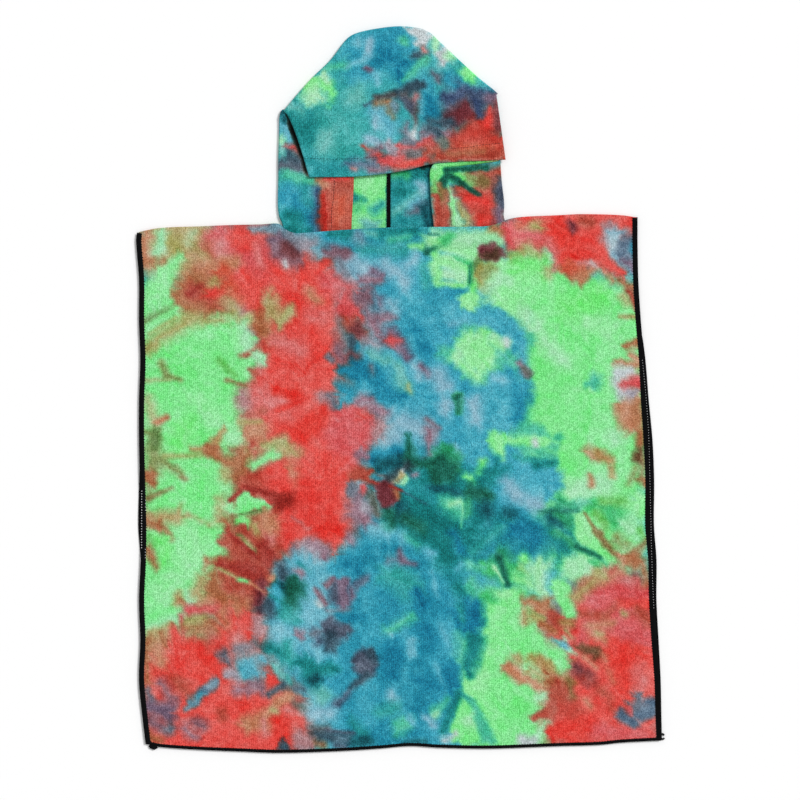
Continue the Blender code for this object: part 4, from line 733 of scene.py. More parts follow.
CORNER_LOOP_PATHS = (
    ((314.8, -414.4, 1.2), (316.2, -413.6, 1.2), (317.5, -414.4, 1.2)),
    ((314.8, -419.2, 1.2), (316.0, -420.0, 1.2), (317.3, -419.4, 1.2)),
)
KNOT_SIZE = (6.6, 2.4)            # width and height of the wrapped thread, as in the next two
CORNER_LOOP_SIZE = (2.2, 1.6)
SEAM_SIZE = (5.0, 1.2)
LOOSE_SHORT_TURN = 0.9            # a short turn's width where the thread is loose, as a share
CORE_SHARE = 0.78                 # of the overlocking's width that its core fills
STITCH_THREAD = 0.24              # half its width
STITCH_LENGTH = 2.9
STITCH_RISE = 0.12                # of the ends of a stitch above the cloth
HOOD_STITCHES = (
    ((-113, 277.2), (-71, 276.1), (-20, 279.2)),
    ((63, 289.2), (80, 289.8), (100, 293.2), (119, 294.9)),
    ((-77.5, 253.8), (-79, 229.8), (-81, 214.8), (-81.5, 196)),
    ((59.4, 231), (61, 214), (62.5, 198)),
)
NECK_STITCHES = (((34, 186.6), (46, 186.5)),)
UNDER_OVERLOCK = OVERLOCK_WIDTH - OVERLOCK_OUT - OVERLOCK_OVER - OVERLOCK_THREAD
BACK_EDGE_LEVEL = 0.85            # middle of the back panel's overlocking
EDGE_STEPS = 200
HEM_CORNER = 1.0                  # between the hem's line and the lower ends of the side overlocking
LEFT_TOP_OVER = 0.5               # how far it runs past the shoulder on the left
RIGHT_TOP_SHORT = 1.0             # how far it stops short of the shoulder on the right
HEM_END_SHORT = 3.0


def smooth_step(amount):
    """0 below 0, 1 above 1, and an even curve between them."""
    held = np.clip(amount, 0.0, 1.0)
    return held * held * (3.0 - 2.0 * held)


def curve(table, column, places):
    """One column of a table at places in its first column, on a smooth curve through its rows."""
    rows = np.array(sorted(table), dtype=float)
    knots = rows[:, 0]
    values = rows[:, column]
    last = len(knots) - 1
    index = np.arange(last + 1)
    after = np.minimum(index + 1, last)
    before = np.maximum(index - 1, 0)
    steep = (values[after] - values[before]) / (knots[after] - knots[before])
    held = np.clip(places, knots[0], knots[-1])
    i = np.clip(np.searchsorted(knots, held, side="right") - 1, 0, last - 1)
    span = knots[i + 1] - knots[i]
    t = (held - knots[i]) / span
    start = (2 * t ** 3 - 3 * t ** 2 + 1) * values[i] + (t ** 3 - 2 * t ** 2 + t) * span * steep[i]
    end = (3 * t ** 2 - 2 * t ** 3) * values[i + 1] + (t ** 3 - t ** 2) * span * steep[i + 1]
    return start + end


def path_points(points, count):
    """Points spaced evenly along a smooth line through the given ones."""
    lengths = [0.0]
    for a, b in zip(points, points[1:]):
        lengths.append(lengths[-1] + math.dist(a, b))
    table = [(s, *p) for s, p in zip(lengths, points)]
    places = np.linspace(0.0, lengths[-1], count)
    return np.stack([curve(table, k + 1, places) for k in range(len(points[0]))], axis=1)


def cloud(x, y, size, seed):
    """Soft noise between -1 and 1 with features of about the given size."""
    lattice = np.random.default_rng(seed).uniform(-1.0, 1.0, (256, 256))
    u = x / size + 100.0
    v = y / size + 100.0
    i = np.floor(u).astype(int)
    j = np.floor(v).astype(int)
    s = smooth_step(u - i)
    t = smooth_step(v - j)
    low = lattice[i % 256, j % 256] * (1 - s) + lattice[(i + 1) % 256, j % 256] * s
    high = lattice[i % 256, (j + 1) % 256] * (1 - s) + lattice[(i + 1) % 256, (j + 1) % 256] * s
    return low * (1 - t) + high * t


def waves(x, y, parts, seed=0):
    """Soft noise of several sizes: each part is a height, a length and what it adds to the seed."""
    return sum(height * cloud(x, y, length, seed + extra) for height, length, extra in parts)


def paint(table, x, y, seed):
    """Dye doses at places: patches and streaks laid over one another in the table's order.

    Each patch bleeds out along folds that fan from its middle, so its border is feathered and
    its dye is streaked the same way.
    """
    wide = [waves(x, y, WIDE_DRIFT, seed + k) for k in (0, 1)]
    small = [waves(x, y, SMALL_DRIFT, seed + k) for k in (0, 1)]
    doses = np.zeros((len(x), 4))
    for number, (shade, from_x, from_y, run_x, run_y, start, end, soft) in enumerate(table):
        width = max(start, end)
        bleed = soft * BLEED
        size = max(run_x ** 2 + run_y ** 2, 0.01)
        share = np.clip(((x - from_x) * run_x + (y - from_y) * run_y) / size, 0.0, 1.0)
        away = np.hypot(x - from_x - run_x * share, y - from_y - run_y * share)
        near = np.flatnonzero(away < width + bleed + DRIFT_MARGIN)
        if len(near) == 0:
            continue
        loose = min(1.0, width / WIDE_DRIFT_WIDTH)
        frayed = min(1.0, width / SMALL_DRIFT_WIDTH)
        aside = (x + wide[0] * loose + small[0] * frayed)[near] - from_x
        along = (y + wide[1] * loose + small[1] * frayed)[near] - from_y
        share = np.clip((aside * run_x + along * run_y) / size, 0.0, 1.0)
        across_x = aside - run_x * share
        across_y = along - run_y * share
        away = np.hypot(across_x, across_y)
        round_border = np.arctan2(across_y, across_x) * min(width, FAN_WIDTH)
        outward = away * FOLD_STRETCH + number * PATCH_STEP
        folds = waves(round_border, outward, FOLD_WAVES, seed)
        reach = min(bleed, FOLD_REACH, width * NARROW_REACH + 1.0)
        border = start + (end - start) * share + folds * reach
        amount = smooth_step((border - away) / bleed + 0.5)
        dose = np.array(SHADES[shade]) * (1.0 + FOLD_DEPTH * folds)[:, None]
        doses[near] += (dose - doses[near]) * amount[:, None]
    strength = 1.0 + 0.10 * cloud(x, y, 21.0, seed + 40) + 0.14 * cloud(x, y, 7.0, seed + 41)
    return doses * strength[:, None]


def shell(upper, lower):
    """Places and faces of a closed wall between two grids, the lower one coarser by a whole ratio."""
    rows, columns = upper.shape[:2]
    low_rows, low_columns = lower.shape[:2]
    ratio = (rows - 1) // (low_rows - 1)
    base = rows * columns
    faces = []
    for i in range(rows - 1):
        for j in range(columns - 1):
            a = i * columns + j
            faces.append((a, a + columns, a + columns + 1, a + 1))
    for i in range(low_rows - 1):
        for j in range(low_columns - 1):
            a = base + i * low_columns + j
            faces.append((a, a + 1, a + low_columns + 1, a + low_columns))
    rim = [(0, j) for j in range(low_columns)]
    rim += [(i, low_columns - 1) for i in range(1, low_rows)]
    rim += [(low_rows - 1, j) for j in range(low_columns - 2, -1, -1)]
    rim += [(i, 0) for i in range(low_rows - 2, 0, -1)]
    for (a, b), (c, d) in zip(rim, rim[1:] + rim[:1]):
        down = c - a
        across = d - b
        side = [(a * ratio + down * k) * columns + b * ratio + across * k for k in range(ratio + 1)]
        faces.append(side + [base + c * low_columns + d, base + a * low_columns + b])
    places = np.concatenate([upper.reshape(-1, 3), lower.reshape(-1, 3)])
    return places, faces


def dyed_wall(upper, lower, table, seed):
    """A closed wall between two grids: its places, its faces and the dye doses at the places."""
    places, faces = shell(upper, lower)
    return places, faces, paint(table, places[:, 0], places[:, 1], seed)


def put_in(name, data):
    """A new object with the given data, put in the scene."""
    thing = bpy.data.objects.new(name, data)
    bpy.context.collection.objects.link(thing)
    return thing


def cloth_piece(name, shells, material):
    """One piece from closed walls, each given as places, faces and the dye doses at the places."""
    places = []
    faces = []
    doses = []
    for wall_places, wall_faces, wall_doses in shells:
        start = sum(len(p) for p in places)
        places.append(wall_places)
        doses.append(wall_doses)
        faces += [[start + k for k in face] for face in wall_faces]
    mesh = bpy.data.meshes.new(name)
    mesh.from_pydata(np.concatenate(places) * MM, [], faces)
    shape = bmesh.new()
    shape.from_mesh(mesh)
    bmesh.ops.recalc_face_normals(shape, faces=shape.faces)
    shape.to_mesh(mesh)
    shape.free()
    mesh.polygons.foreach_set("use_smooth", np.ones(len(mesh.polygons), dtype=bool))
    # Besides dye, the doses hold the painted shadow of the near-black fold rows.
    layer = mesh.attributes.new("dye", "FLOAT_COLOR", "POINT")
    layer.data.foreach_set("color", np.concatenate(doses).ravel())
    mesh.materials.append(material)
    return put_in(name, mesh)


def front_top(x):
    """y of the front panel's upper edge."""
    return curve(TOP_EDGE, 1, x)


def front_left(y):
    """x of the front panel's left edge."""
    return curve(SIDE_EDGES, 1, y) + curve(SIDE_EDGES, 3, y)


def front_right(y):
    """x of the front panel's right edge."""
    return curve(SIDE_EDGES, 2, y) - curve(SIDE_EDGES, 4, y)


def neck_rise(x, y):
    """How far the front panel climbs to lie on the hood's sewn edge."""
    across = smooth_step((x - NECK_LEFT) / NECK_RAMP + 1)
    across = across * smooth_step((NECK_RIGHT - x) / NECK_RAMP + 1)
    opening = smooth_step((x - OPENING_LEFT) / NECK_RAMP)
    opening = opening * smooth_step((OPENING_RIGHT - x) / NECK_RAMP)
    rise = NECK_RISE * across - NECK_SINK * opening
    return rise * smooth_step((y - NECK_LOW) / NECK_RAMP + 1)


def lift(x, y):
    """How far the front panel stands off the back one where the cloth is not pressed flat."""
    total = np.zeros_like(x)
    for centre_x, centre_y, half_width, half_length, height in LIFTS:
        away = np.hypot((x - centre_x) / half_width, (y - centre_y) / half_length)
        total += height * smooth_step(1.0 - away)
    return total


def drawn_together(top, under, share):
    """The two faces of a layer, with a share of its thickness left between them."""
    middle = (top + under) / 2
    return middle + (top - middle) * share, middle + (under - middle) * share


def rounded(top, under, to_edge):
    """The two faces of a layer rounded off where it comes to an edge."""
    out = 1 - np.clip(to_edge / EDGE_ROUND, 0.0, 1.0)
    return drawn_together(top, under, np.sqrt(np.clip(1 - out ** 2, EDGE_LEAST, 1.0)))


def thinned(top, under, to_edge):
    """The two faces of a panel pressed together under its overlocking."""
    share = EDGE_PRESS + (1 - EDGE_PRESS) * smooth_step((to_edge - UNDER_OVERLOCK) / EDGE_RAMP)
    return drawn_together(top, under, share)


def panel_relief(x, y, to_edge):
    """Low waves of a laid panel, stronger along its overlocked edges."""
    edge_waves = cloud(x, y, EDGE_WAVE_LENGTH, 24) * np.exp(-to_edge / EDGE_WAVE_REACH)
    relief = waves(x, y, PANEL_WAVES) + EDGE_WAVE * edge_waves
    return relief * smooth_step((to_edge - UNDER_OVERLOCK) / (2 * EDGE_RAMP))


def edge_rows(count, length, near):
    """Shares of a length, with a few rows close together at its start."""
    even = np.linspace(near[-1] / length, 1.0, count - len(near) + 1)
    return np.concatenate([np.array(near[:-1]) / length, even])


def back_top(x):
    """y of the back panel's upper edge, with the notch round the foot of the hood."""
    foot = HOOD_FOOT - NOTCH_CLEAR
    notch_left = curve(HOOD_SIDES, 1, foot) - NOTCH_CLEAR
    notch_right = curve(HOOD_SIDES, 2, foot) + NOTCH_CLEAR
    return np.where((x > notch_left) & (x < notch_right), foot, front_top(x) - BACK_INSET)


def back_left(y):
    """x of the back panel's left edge, held inside the front one where it does not show."""
    hidden = 1 - smooth_step(curve(SIDE_EDGES, 3, y) / BACK_INSET)
    return curve(SIDE_EDGES, 1, y) + BACK_INSET * hidden


def back_right(y):
    """x of the back panel's right edge."""
    hidden = 1 - smooth_step(curve(SIDE_EDGES, 4, y) / BACK_INSET)
    return curve(SIDE_EDGES, 2, y) - BACK_INSET * hidden


def panel_grid(columns, rows, top_edge, left_edge, right_edge, inset):
    """x and y over a panel, and the distances to its nearest overlocked edge and to its top edge.

    Columns and rows are shares of its width and length, and its edges are functions. Inset is
    how far its top and hem lie inside the front panel's.
    """
    trim = inset + OVERLOCK_OVER
    left_end = TOP_EDGE[0][0] + trim
    top_x = left_end + (TOP_EDGE[-1][0] - trim - left_end) * columns
    hem_x = HEM_EDGE[0][0] + (HEM_EDGE[-1][0] - HEM_EDGE[0][0]) * columns
    top_y = top_edge(top_x)
    hem_y = curve(HEM_EDGE, 1, hem_x) + inset + OVERLOCK_OVER
    y = top_y + (hem_y - top_y) * rows[:, None]
    blend = smooth_step(rows[:, None] * PANEL_LENGTH / EDGE_BLEND)
    left = top_x[0] + (left_edge(y) + OVERLOCK_OVER - top_x[0]) * blend
    right = top_x[-1] + (right_edge(y) - OVERLOCK_OVER - top_x[-1]) * blend
    x = left + (right - left) * columns
    to_side = np.minimum(x - left, right - x)
    to_hem = y - hem_y + OVERLOCK_WIDTH - HEM_OVERLOCK_WIDTH
    return x, y, np.minimum(to_side, to_hem), top_y - y


def build_front_panel(material):
    """The front panel over the back one, its turned-in top edge over the foot of the hood."""
    across, down = FRONT_STEPS
    columns = np.linspace(0.0, 1.0, FINER * across + 1)
    rows = edge_rows(FINER * down + 1, PANEL_LENGTH, TOP_ROWS)
    x, y, to_side, to_top = panel_grid(columns, rows, front_top, front_left, front_right, 0.0)
    under = FRONT_LEVEL + lift(x, y) + neck_rise(x, y)
    top = under + CLOTH + panel_relief(x, y, to_side)
    top, under = thinned(top, under, to_side)
    top, under = rounded(top, under, to_top)
    upper = np.stack([x, y, top], axis=2)
    lower = np.stack([x, y, under], axis=2)[::FINER, ::FINER]
    return cloth_piece("front_panel_cloth", [dyed_wall(upper, lower, FRONT_DYE, 1)], material)


def build_back_panel(material):
    """The back panel, flat on the surface, its dye like the front's turned half round."""
    even = np.linspace(0.0, 1.0, BACK_STEPS + 1)
    x, y, to_side, _ = panel_grid(even, even, back_top, back_left, back_right, BACK_INSET)
    top, under = thinned(np.full_like(x, CLOTH), np.zeros_like(x), to_side)
    places, faces = shell(np.stack([x, y, top], axis=2), np.stack([x, y, under], axis=2))
    doses = paint(FRONT_DYE, -places[:, 0], BACK_DYE_SHIFT - places[:, 1], 2)
    return cloth_piece("back_panel_cloth", [(places, faces, doses)], material)


def hood_side(y, side):
    """x of the hood's folded side, left is -1 and right is 1."""
    return curve(HOOD_SIDES, 1 if side < 0 else 2, y)


def folded_section(foot, inward, edge, tops, unders, pinched=False):
    """One section of a leaf folded over from the hood's back layer, as its outer and inner points."""
    reach = (tops[0] - SLACK) / 2
    hollow = PINCH if pinched else reach - CLOTH + 2 * SLACK
    centre_z = SLACK + reach
    centre = np.array(foot) + np.array(inward) * reach
    root = centre + np.array(inward) * ROOT_DEPTH
    outer = [(*root, SLACK + ROOT_TAPER)]
    inner = [(*root, CLOTH - SLACK - ROOT_TAPER)]
    for k in range(BEND_STEPS + 1):
        turn = -math.pi / 2 + math.pi * k / BEND_STEPS
        for side, size in ((outer, reach), (inner, hollow)):
            x = centre[0] - inward[0] * size * math.cos(turn)
            y = centre[1] - inward[1] * size * math.cos(turn)
            side.append((x, y, centre_z + size * math.sin(turn)))
    along = (np.array(edge) - centre) / math.dist(centre, edge)
    for k in range(1, len(tops)):
        x, y = centre + (np.array(edge) - centre) * k / (len(tops) - 1)
        outer.append((x, y, tops[k]))
        inner.append((x, y, unders[k]))
    for out in ROUND_AT:
        x, y = np.array(edge) + along * EDGE_ROUND * out
        sink = 1 - math.sqrt(max(0.0, 1 - out * out))
        outer.append((x, y, tops[-1] - EDGE_ROUND * sink))
        inner.append((x, y, unders[-1] + UNDER_ROUND * sink))
    return outer, inner


def cheek_shell(side, face_edge, seed):
    """A side of the hood, folded round on to its back layer, hemmed at the face opening."""
    extra = HEM_THICKNESS - CLOTH
    shares = np.linspace(0.0, 1.0, CHEEK_GRID[0])
    outers = []
    inners = []
    for y in np.linspace(face_edge[0][0], face_edge[-1][0], CHEEK_GRID[1]):
        foot = (float(hood_side(y, side)), y)
        edge = (float(curve(face_edge, 1, y)), y)
        width = abs(edge[0] - foot[0])
        to_edge = (1 - shares) * width
        x = foot[0] + (edge[0] - foot[0]) * shares
        hem = smooth_step(1 - (to_edge - HEM_WIDTH) / HEM_RAMP)
        relief = cheek_relief(x, y, to_edge, seed) * smooth_step(shares * RELIEF_PART)
        tops = CHEEK_TOP + hem * extra * HEM_RAISED + relief
        unders = CHEEK_TOP - CLOTH - hem * extra * (1 - HEM_RAISED)
        outer, inner = folded_section(foot, (-side, 0.0), edge, tops, unders)
        outers.append(outer)
        inners.append(inner)
    return dyed_wall(np.array(outers), np.array(inners), CHEEK_DYE, seed)


def groove(to_edge):
    """How deep the stitching of a hem is pressed in."""
    return GROOVE_DEPTH * np.exp(-((to_edge - HEM_WIDTH) / GROOVE_WIDTH) ** 2)


def cheek_relief(x, y, to_edge, seed):
    """Ribs that the hem's stitching draws up along the face edge, and low waves elsewhere."""
    level = np.full_like(x, y)
    drift = RIB_DRIFT[0] * cloud(x, level, RIB_DRIFT[1], seed)
    ribs = np.sin(to_edge * 2 * math.pi / RIB_SPACING + drift)
    near_edge = smooth_step(1 - to_edge / RIB_REACH)
    low = CHEEK_WAVE[0] * cloud(x, level, CHEEK_WAVE[1], seed + 1)
    return RIB_HEIGHT * ribs * near_edge - groove(to_edge) + low


def inside(x, y, triangle):
    """How far points lie inside a triangle, as their least distance from its sides."""
    total = []
    for a, b in zip(triangle, triangle[1:] + triangle[:1]):
        length = math.dist(a, b)
        total.append(((b[0] - a[0]) * (y - a[1]) - (b[1] - a[1]) * (x - a[0])) / length)
    turned = (triangle[1][0] - triangle[0][0]) * (triangle[2][1] - triangle[0][1])
    turned -= (triangle[1][1] - triangle[0][1]) * (triangle[2][0] - triangle[0][0])
    return np.min(total, axis=0) if turned > 0 else -np.max(total, axis=0)


def crown_top(x, y, to_brim):
    """Height of the hood's front layer: raised over the pleats and at its hem, lower between."""
    over_left = smooth_step((CROWN_LEFT_RAMP[0] - x) / CROWN_LEFT_RAMP[1] + 1)
    over_right = smooth_step((x - CROWN_RIGHT_RAMP[0]) / CROWN_RIGHT_RAMP[1] + 1)
    down = smooth_step((CROWN_DOWN_RAMP[0] - y) / CROWN_DOWN_RAMP[1])
    at_hem = BRIM_SHARE * smooth_step(1 - (to_brim - BRIM_FLAT_LENGTH) / BRIM_RISE_LENGTH)
    share = np.maximum(np.maximum(over_left * down, over_right * down), at_hem)
    return CROWN_FOLD_TOP + (CROWN_SIDE_TOP - CROWN_FOLD_TOP) * share


def crown_under(x, y, top, to_brim):
    """Underside of the hood's front layer: thicker at its hem, and fused to the hidden pleats."""
    hem = smooth_step(1 - (to_brim - HEM_WIDTH) / HEM_RAMP)
    under = top - CLOTH - hem * (HEM_THICKNESS - CLOTH)
    depth = np.maximum(inside(x, y, LEFT_PLEAT), inside(x, y, RIGHT_PLEAT))
    to_left = np.hypot(x - LEFT_PLEAT[0][0], y - LEFT_PLEAT[0][1])
    to_right = np.hypot(x - RIGHT_PLEAT[0][0], y - RIGHT_PLEAT[0][1])
    fused = (depth > PLEAT_EDGE) | (np.minimum(to_left, to_right) < PLEAT_HEAD)
    return np.where(fused, PLEAT_FUSE, under)


def crown_relief(x, y, to_brim):
    """The hem's stitched groove with its puckers, and low waves."""
    drift = PUCKER_DRIFT[0] * cloud(x, y, PUCKER_DRIFT[1], 31)
    puckers = np.sin(x * 2 * math.pi / PUCKER_SPACING + drift)
    at_hem = np.exp(-((to_brim - HEM_WIDTH) / PUCKER_REACH) ** 2)
    return waves(x, y, CROWN_WAVES) - groove(to_brim) + PUCKER_HEIGHT * puckers * at_hem


def bowed(section, bow):
    """A section of the crown layer with its leaf curved to the right between its two ends."""
    leaf = len(section) - BEND_STEPS - 1 - len(ROUND_AT)
    moved = []
    for k, (x, y, z) in enumerate(section):
        part = min(max(0.0, (k - BEND_STEPS - 1) / leaf), 1.0)
        moved.append((x + bow * math.sin(math.pi * part ** BOW_SKEW), y, z))
    return moved


def rounded_side(section, out, sink):
    """One more section past a side of the crown layer, which rounds the side off."""
    fold = [(x + PINCH * out, y, z) for x, y, z in section[:BEND_STEPS + 1]]
    leaf = [(x + out, y, z + sink) for x, y, z in section[BEND_STEPS + 1:]]
    return fold + leaf


def crown_shell():
    """The hood's front layer: folded over the crown from the back layer and down to the brim."""
    down, count = CROWN_GRID
    last = count - 1
    feet = path_points(CROWN_OUTLINE, count)
    edges = path_points(BRIM_EDGE, count)
    shares = np.linspace(0.0, 1.0, down)
    outers = []
    inners = []
    for i, (foot, edge) in enumerate(zip(feet, edges)):
        before = feet[max(i - 1, 0)]
        after = feet[min(i + 1, last)]
        size = math.dist(before, after)
        inward = ((after[1] - before[1]) / size, (before[0] - after[0]) / size)
        x = foot[0] + (edge[0] - foot[0]) * shares
        y = foot[1] + (edge[1] - foot[1]) * shares
        to_brim = (1 - shares) * math.dist(foot, edge)
        tops = crown_top(x, y, to_brim)
        unders = crown_under(x, y, tops, to_brim)
        if i in (0, last):
            unders = np.minimum(unders, PLEAT_EDGE_UNDER)
        tops = tops + crown_relief(x, y, to_brim) * smooth_step(shares * RELIEF_PART)
        outer, inner = folded_section(foot, inward, edge, tops, unders, i in (0, last))
        bow = LEFT_EDGE_BOW * max(0.0, 1 - i / (BOW_LENGTH * last))
        outers.append(bowed(outer, bow))
        inners.append(bowed(inner, bow))
    for sections, sink in ((outers, -EDGE_ROUND), (inners, UNDER_ROUND)):
        left_end = rounded_side(sections[0], -EDGE_ROUND, sink)
        right_end = rounded_side(sections[-1], EDGE_ROUND, sink)
        sections.insert(0, left_end)
        sections.append(right_end)
    return dyed_wall(np.array(outers), np.array(inners), CROWN_DYE, 5)


def hood_back_shell():
    """The hood's back layer, short of its folds."""
    columns = np.linspace(0.0, 1.0, BACK_LAYER_GRID[0])
    rows = np.linspace(0.0, 1.0, BACK_LAYER_GRID[1])
    crown_x = CROWN_OUTLINE[0][0] + (CROWN_OUTLINE[-1][0] - CROWN_OUTLINE[0][0]) * columns
    top_y = curve(CROWN_OUTLINE, 1, crown_x) - BACK_LAYER_CROWN_GAP
    y = top_y + (HOOD_FOOT - top_y) * rows[:, None]
    left = hood_side(y, -1) + BACK_LAYER_SIDE_GAP
    right = hood_side(y, 1) - BACK_LAYER_SIDE_GAP
    narrow = smooth_step((y - BACK_LAYER_NARROWS[0]) / BACK_LAYER_NARROWS[1])
    left = left + (crown_x[0] + BACK_LAYER_CORNER_GAP - left) * narrow
    right = right + (crown_x[-1] - BACK_LAYER_CORNER_GAP - right) * narrow
    x = left + (right - left) * columns
    relief = BACK_LAYER_WAVE[0] * cloud(x, y, BACK_LAYER_WAVE[1], 41)
    upper = np.stack([x, y, CLOTH + relief], axis=2)
    lower = np.stack([x, y, np.zeros_like(x)], axis=2)
    return dyed_wall(upper, lower, LINING_DYE, 6)


def lip_shell():
    """The right pleat's hemmed edge, showing just below the brim."""
    x = np.linspace(PLEAT_LIP[0][0], PLEAT_LIP[-1][0], LIP_GRID[0])
    high = curve(PLEAT_LIP, 1, x)
    low = curve(PLEAT_LIP, 2, x)
    upper = []
    lower = []
    for out in np.linspace(0.0, 1.0, LIP_GRID[1]):
        y = high + (low - high) * out
        past = np.clip(1 - (y - low) / LIP_ROUND, 0, 1)
        down = EDGE_ROUND * (1 - np.sqrt(np.clip(1 - past ** 2, 0, 1)))
        top = LIP_TOP - down + LIP_WAVE[0] * cloud(x, y, LIP_WAVE[1], 51)
        upper.append(np.stack([x, y, top], axis=1))
        lower.append(np.stack([x, y, np.full_like(x, PLEAT_FUSE)], axis=1))
    return dyed_wall(np.array(upper), np.array(lower), LIP_DYE, 7)


def build_hood(material):
    """The hood, one piece of cloth: its back layer, two cheeks, crown layer and pleat."""
    left_cheek = cheek_shell(-1, LEFT_FACE_EDGE, 61)
    right_cheek = cheek_shell(1, RIGHT_FACE_EDGE, 62)
    shells = [hood_back_shell(), left_cheek, right_cheek, crown_shell(), lip_shell()]
    return cloth_piece("hood_cloth", shells, material)


def group_sockets(tree, inputs, outputs):
    """Named sockets of a node group, and its input and output nodes."""
    for name, kind, value in inputs:
        socket = tree.interface.new_socket(name, in_out="INPUT", socket_type=kind)
        if value is not None:
            socket.default_value = value
    for name, kind in outputs:
        tree.interface.new_socket(name, in_out="OUTPUT", socket_type=kind)
    return tree.nodes.new("NodeGroupInput"), tree.nodes.new("NodeGroupOutput")


def sums(tree, operation, first, second, third=None):
    """A Math node on sockets or numbers."""
    node = tree.nodes.new("ShaderNodeMath")
    node.operation = operation
    for k, value in enumerate((first, second, third)):
        if value is None:
            continue
        if isinstance(value, (int, float)):
            node.inputs[k].default_value = value
        else:
            tree.links.new(value, node.inputs[k])
    return node.outputs[0]


def vectors(tree, operation, first, second=None, scale=None):
    """A Vector Math node on sockets or triples."""
    node = tree.nodes.new("ShaderNodeVectorMath")
    node.operation = operation
    for k, value in enumerate((first, second)):
        if isinstance(value, tuple):
            node.inputs[k].default_value = value
        elif value is not None:
            tree.links.new(value, node.inputs[k])
    if scale is not None:
        tree.links.new(scale, node.inputs["Scale"])
    return node.outputs[0]


def add_node(tree, kind, values, links):
    """A node with some inputs set and others linked, by name or number."""
    node = tree.nodes.new(kind)
    for name, value in values.items():
        node.inputs[name].default_value = value
    for name, output in links.items():
        tree.links.new(output, node.inputs[name])
    return node


def noise(tree, place, scale, detail):
    """A Noise texture's value at a place, scale in features per metre."""
    values = {"Scale": scale, "Detail": detail}
    return add_node(tree, "ShaderNodeTexNoise", values, {"Vector": place}).outputs["Fac"]


def dyed_cloth_group():
    """Colour of cloth from its dye doses, mottled by how the pile took the dye.

    Loop Tone is a chance value from 0 to 1 for each loop: it sets how much dye the loop took
    and how far the loop shade factor darkens or lightens its colour, a painted shade that stands
    in for the shadows among the pile's loops.
    """
    tree = bpy.data.node_groups.new("dyed_cloth", "ShaderNodeTree")
    inputs = (
        ("Dye", "NodeSocketColor", None),
        ("Yellow Dye", "NodeSocketFloat", 0.0),
        ("Loop Tone", "NodeSocketFloat", 0.5),
        ("Cloudiness", "NodeSocketFloat", 0.32),
        ("Loop Uptake", "NodeSocketFloat", 0.28),
        # Painted shade: how far each loop's colour is darkened or lightened, standing in for the
        # pile's shadows.
        ("Painted Loop Shade", "NodeSocketFloat", 0.6),
    )
    source, target = group_sockets(tree, inputs, (("Color", "NodeSocketColor"),))
    place = tree.nodes.new("ShaderNodeTexCoord").outputs["Object"]
    clouds = sums(tree, "SUBTRACT", noise(tree, place, CLOUDS_PER_METRE, 3.0), 0.5)
    tone = sums(tree, "SUBTRACT", source.outputs["Loop Tone"], 0.5)
    mottle = sums(tree, "MULTIPLY_ADD", clouds, source.outputs["Cloudiness"], 1.0)
    less = sums(tree, "MULTIPLY", tone, source.outputs["Loop Uptake"])
    mottle = sums(tree, "SUBTRACT", mottle, less)
    # painted shade of each loop, from its chance tone
    shade = sums(tree, "MULTIPLY_ADD", tone, source.outputs["Painted Loop Shade"], 1.0)
    split = add_node(tree, "ShaderNodeSeparateColor", {}, {0: source.outputs["Dye"]})
    doses = (*split.outputs, source.outputs["Yellow Dye"])
    taken = (0.0, 0.0, 0.0)
    for dye, dose in zip((PINK_DYE, GREEN_DYE, BLUE_DYE, YELLOW_DYE), doses):
        part = vectors(tree, "SCALE", dye, scale=sums(tree, "MULTIPLY", dose, mottle))
        taken = vectors(tree, "ADD", part, taken)
    channels = add_node(tree, "ShaderNodeSeparateXYZ", {}, {0: taken})
    joined = tree.nodes.new("ShaderNodeCombineXYZ")
    for k in range(3):
        left = sums(tree, "POWER", math.exp(-1.0), channels.outputs[k])
        # each channel times the loop's painted shade
        left = sums(tree, "MULTIPLY", left, shade)
        tree.links.new(sums(tree, "MULTIPLY", left, UNDYED[k]), joined.inputs[k])
    tree.links.new(joined.outputs[0], target.inputs["Color"])
    return tree


def towelling_pile_group():
    """The short looped pile, in rows along the cloth's length: its height, and each loop's tone."""
    tree = bpy.data.node_groups.new("towelling_pile", "ShaderNodeTree")
    inputs = (
        ("Loops per Metre", "NodeSocketFloat", 1150.0),
        ("Loop Length", "NodeSocketFloat", 1.15),
        ("Row Depth", "NodeSocketFloat", 0.22),
    )
    outputs = (("Height", "NodeSocketFloat"), ("Loop Tone", "NodeSocketFloat"))
    source, target = group_sockets(tree, inputs, outputs)
    place = tree.nodes.new("ShaderNodeTexCoord").outputs["Object"]
    shorter = sums(tree, "DIVIDE", 1.0, source.outputs["Loop Length"])
    squeeze = add_node(tree, "ShaderNodeCombineXYZ", {"X": 1.0, "Z": 1.0}, {"Y": shorter})
    loops = tree.nodes.new("ShaderNodeTexVoronoi")
    loops.feature = "F1"
    tree.links.new(vectors(tree, "MULTIPLY", place, squeeze.outputs[0]), loops.inputs["Vector"])
    tree.links.new(source.outputs["Loops per Metre"], loops.inputs["Scale"])
    values = {"Scale": PILE_ROWS, "Distortion": 2.0, "Detail": 2.0}
    rows = add_node(tree, "ShaderNodeTexWave", values, {"Vector": place})
    rows.wave_type = "BANDS"
    rows.bands_direction = "X"
    height = sums(tree, "SUBTRACT", 1.0, loops.outputs["Distance"])
    height = sums(tree, "MULTIPLY_ADD", rows.outputs["Fac"], source.outputs["Row Depth"], height)
    tree.links.new(height, target.inputs["Height"])
    chances = add_node(tree, "ShaderNodeSeparateColor", {}, {0: loops.outputs["Color"]})
    row_tone = sums(tree, "SUBTRACT", rows.outputs["Fac"], 0.5)
    tone = sums(tree, "MULTIPLY_ADD", row_tone, source.outputs["Row Depth"], chances.outputs[0])
    tree.links.new(tone, target.inputs["Loop Tone"])
    return tree


def plain_material(name, colour, roughness):
    """A material with a Principled shader, and that shader."""
    made = bpy.data.materials.new(name)
    made.use_nodes = True
    shader = made.node_tree.nodes["Principled BSDF"]
    shader.inputs["Base Color"].default_value = (*colour, 1.0)
    shader.inputs["Roughness"].default_value = roughness
    return made, shader


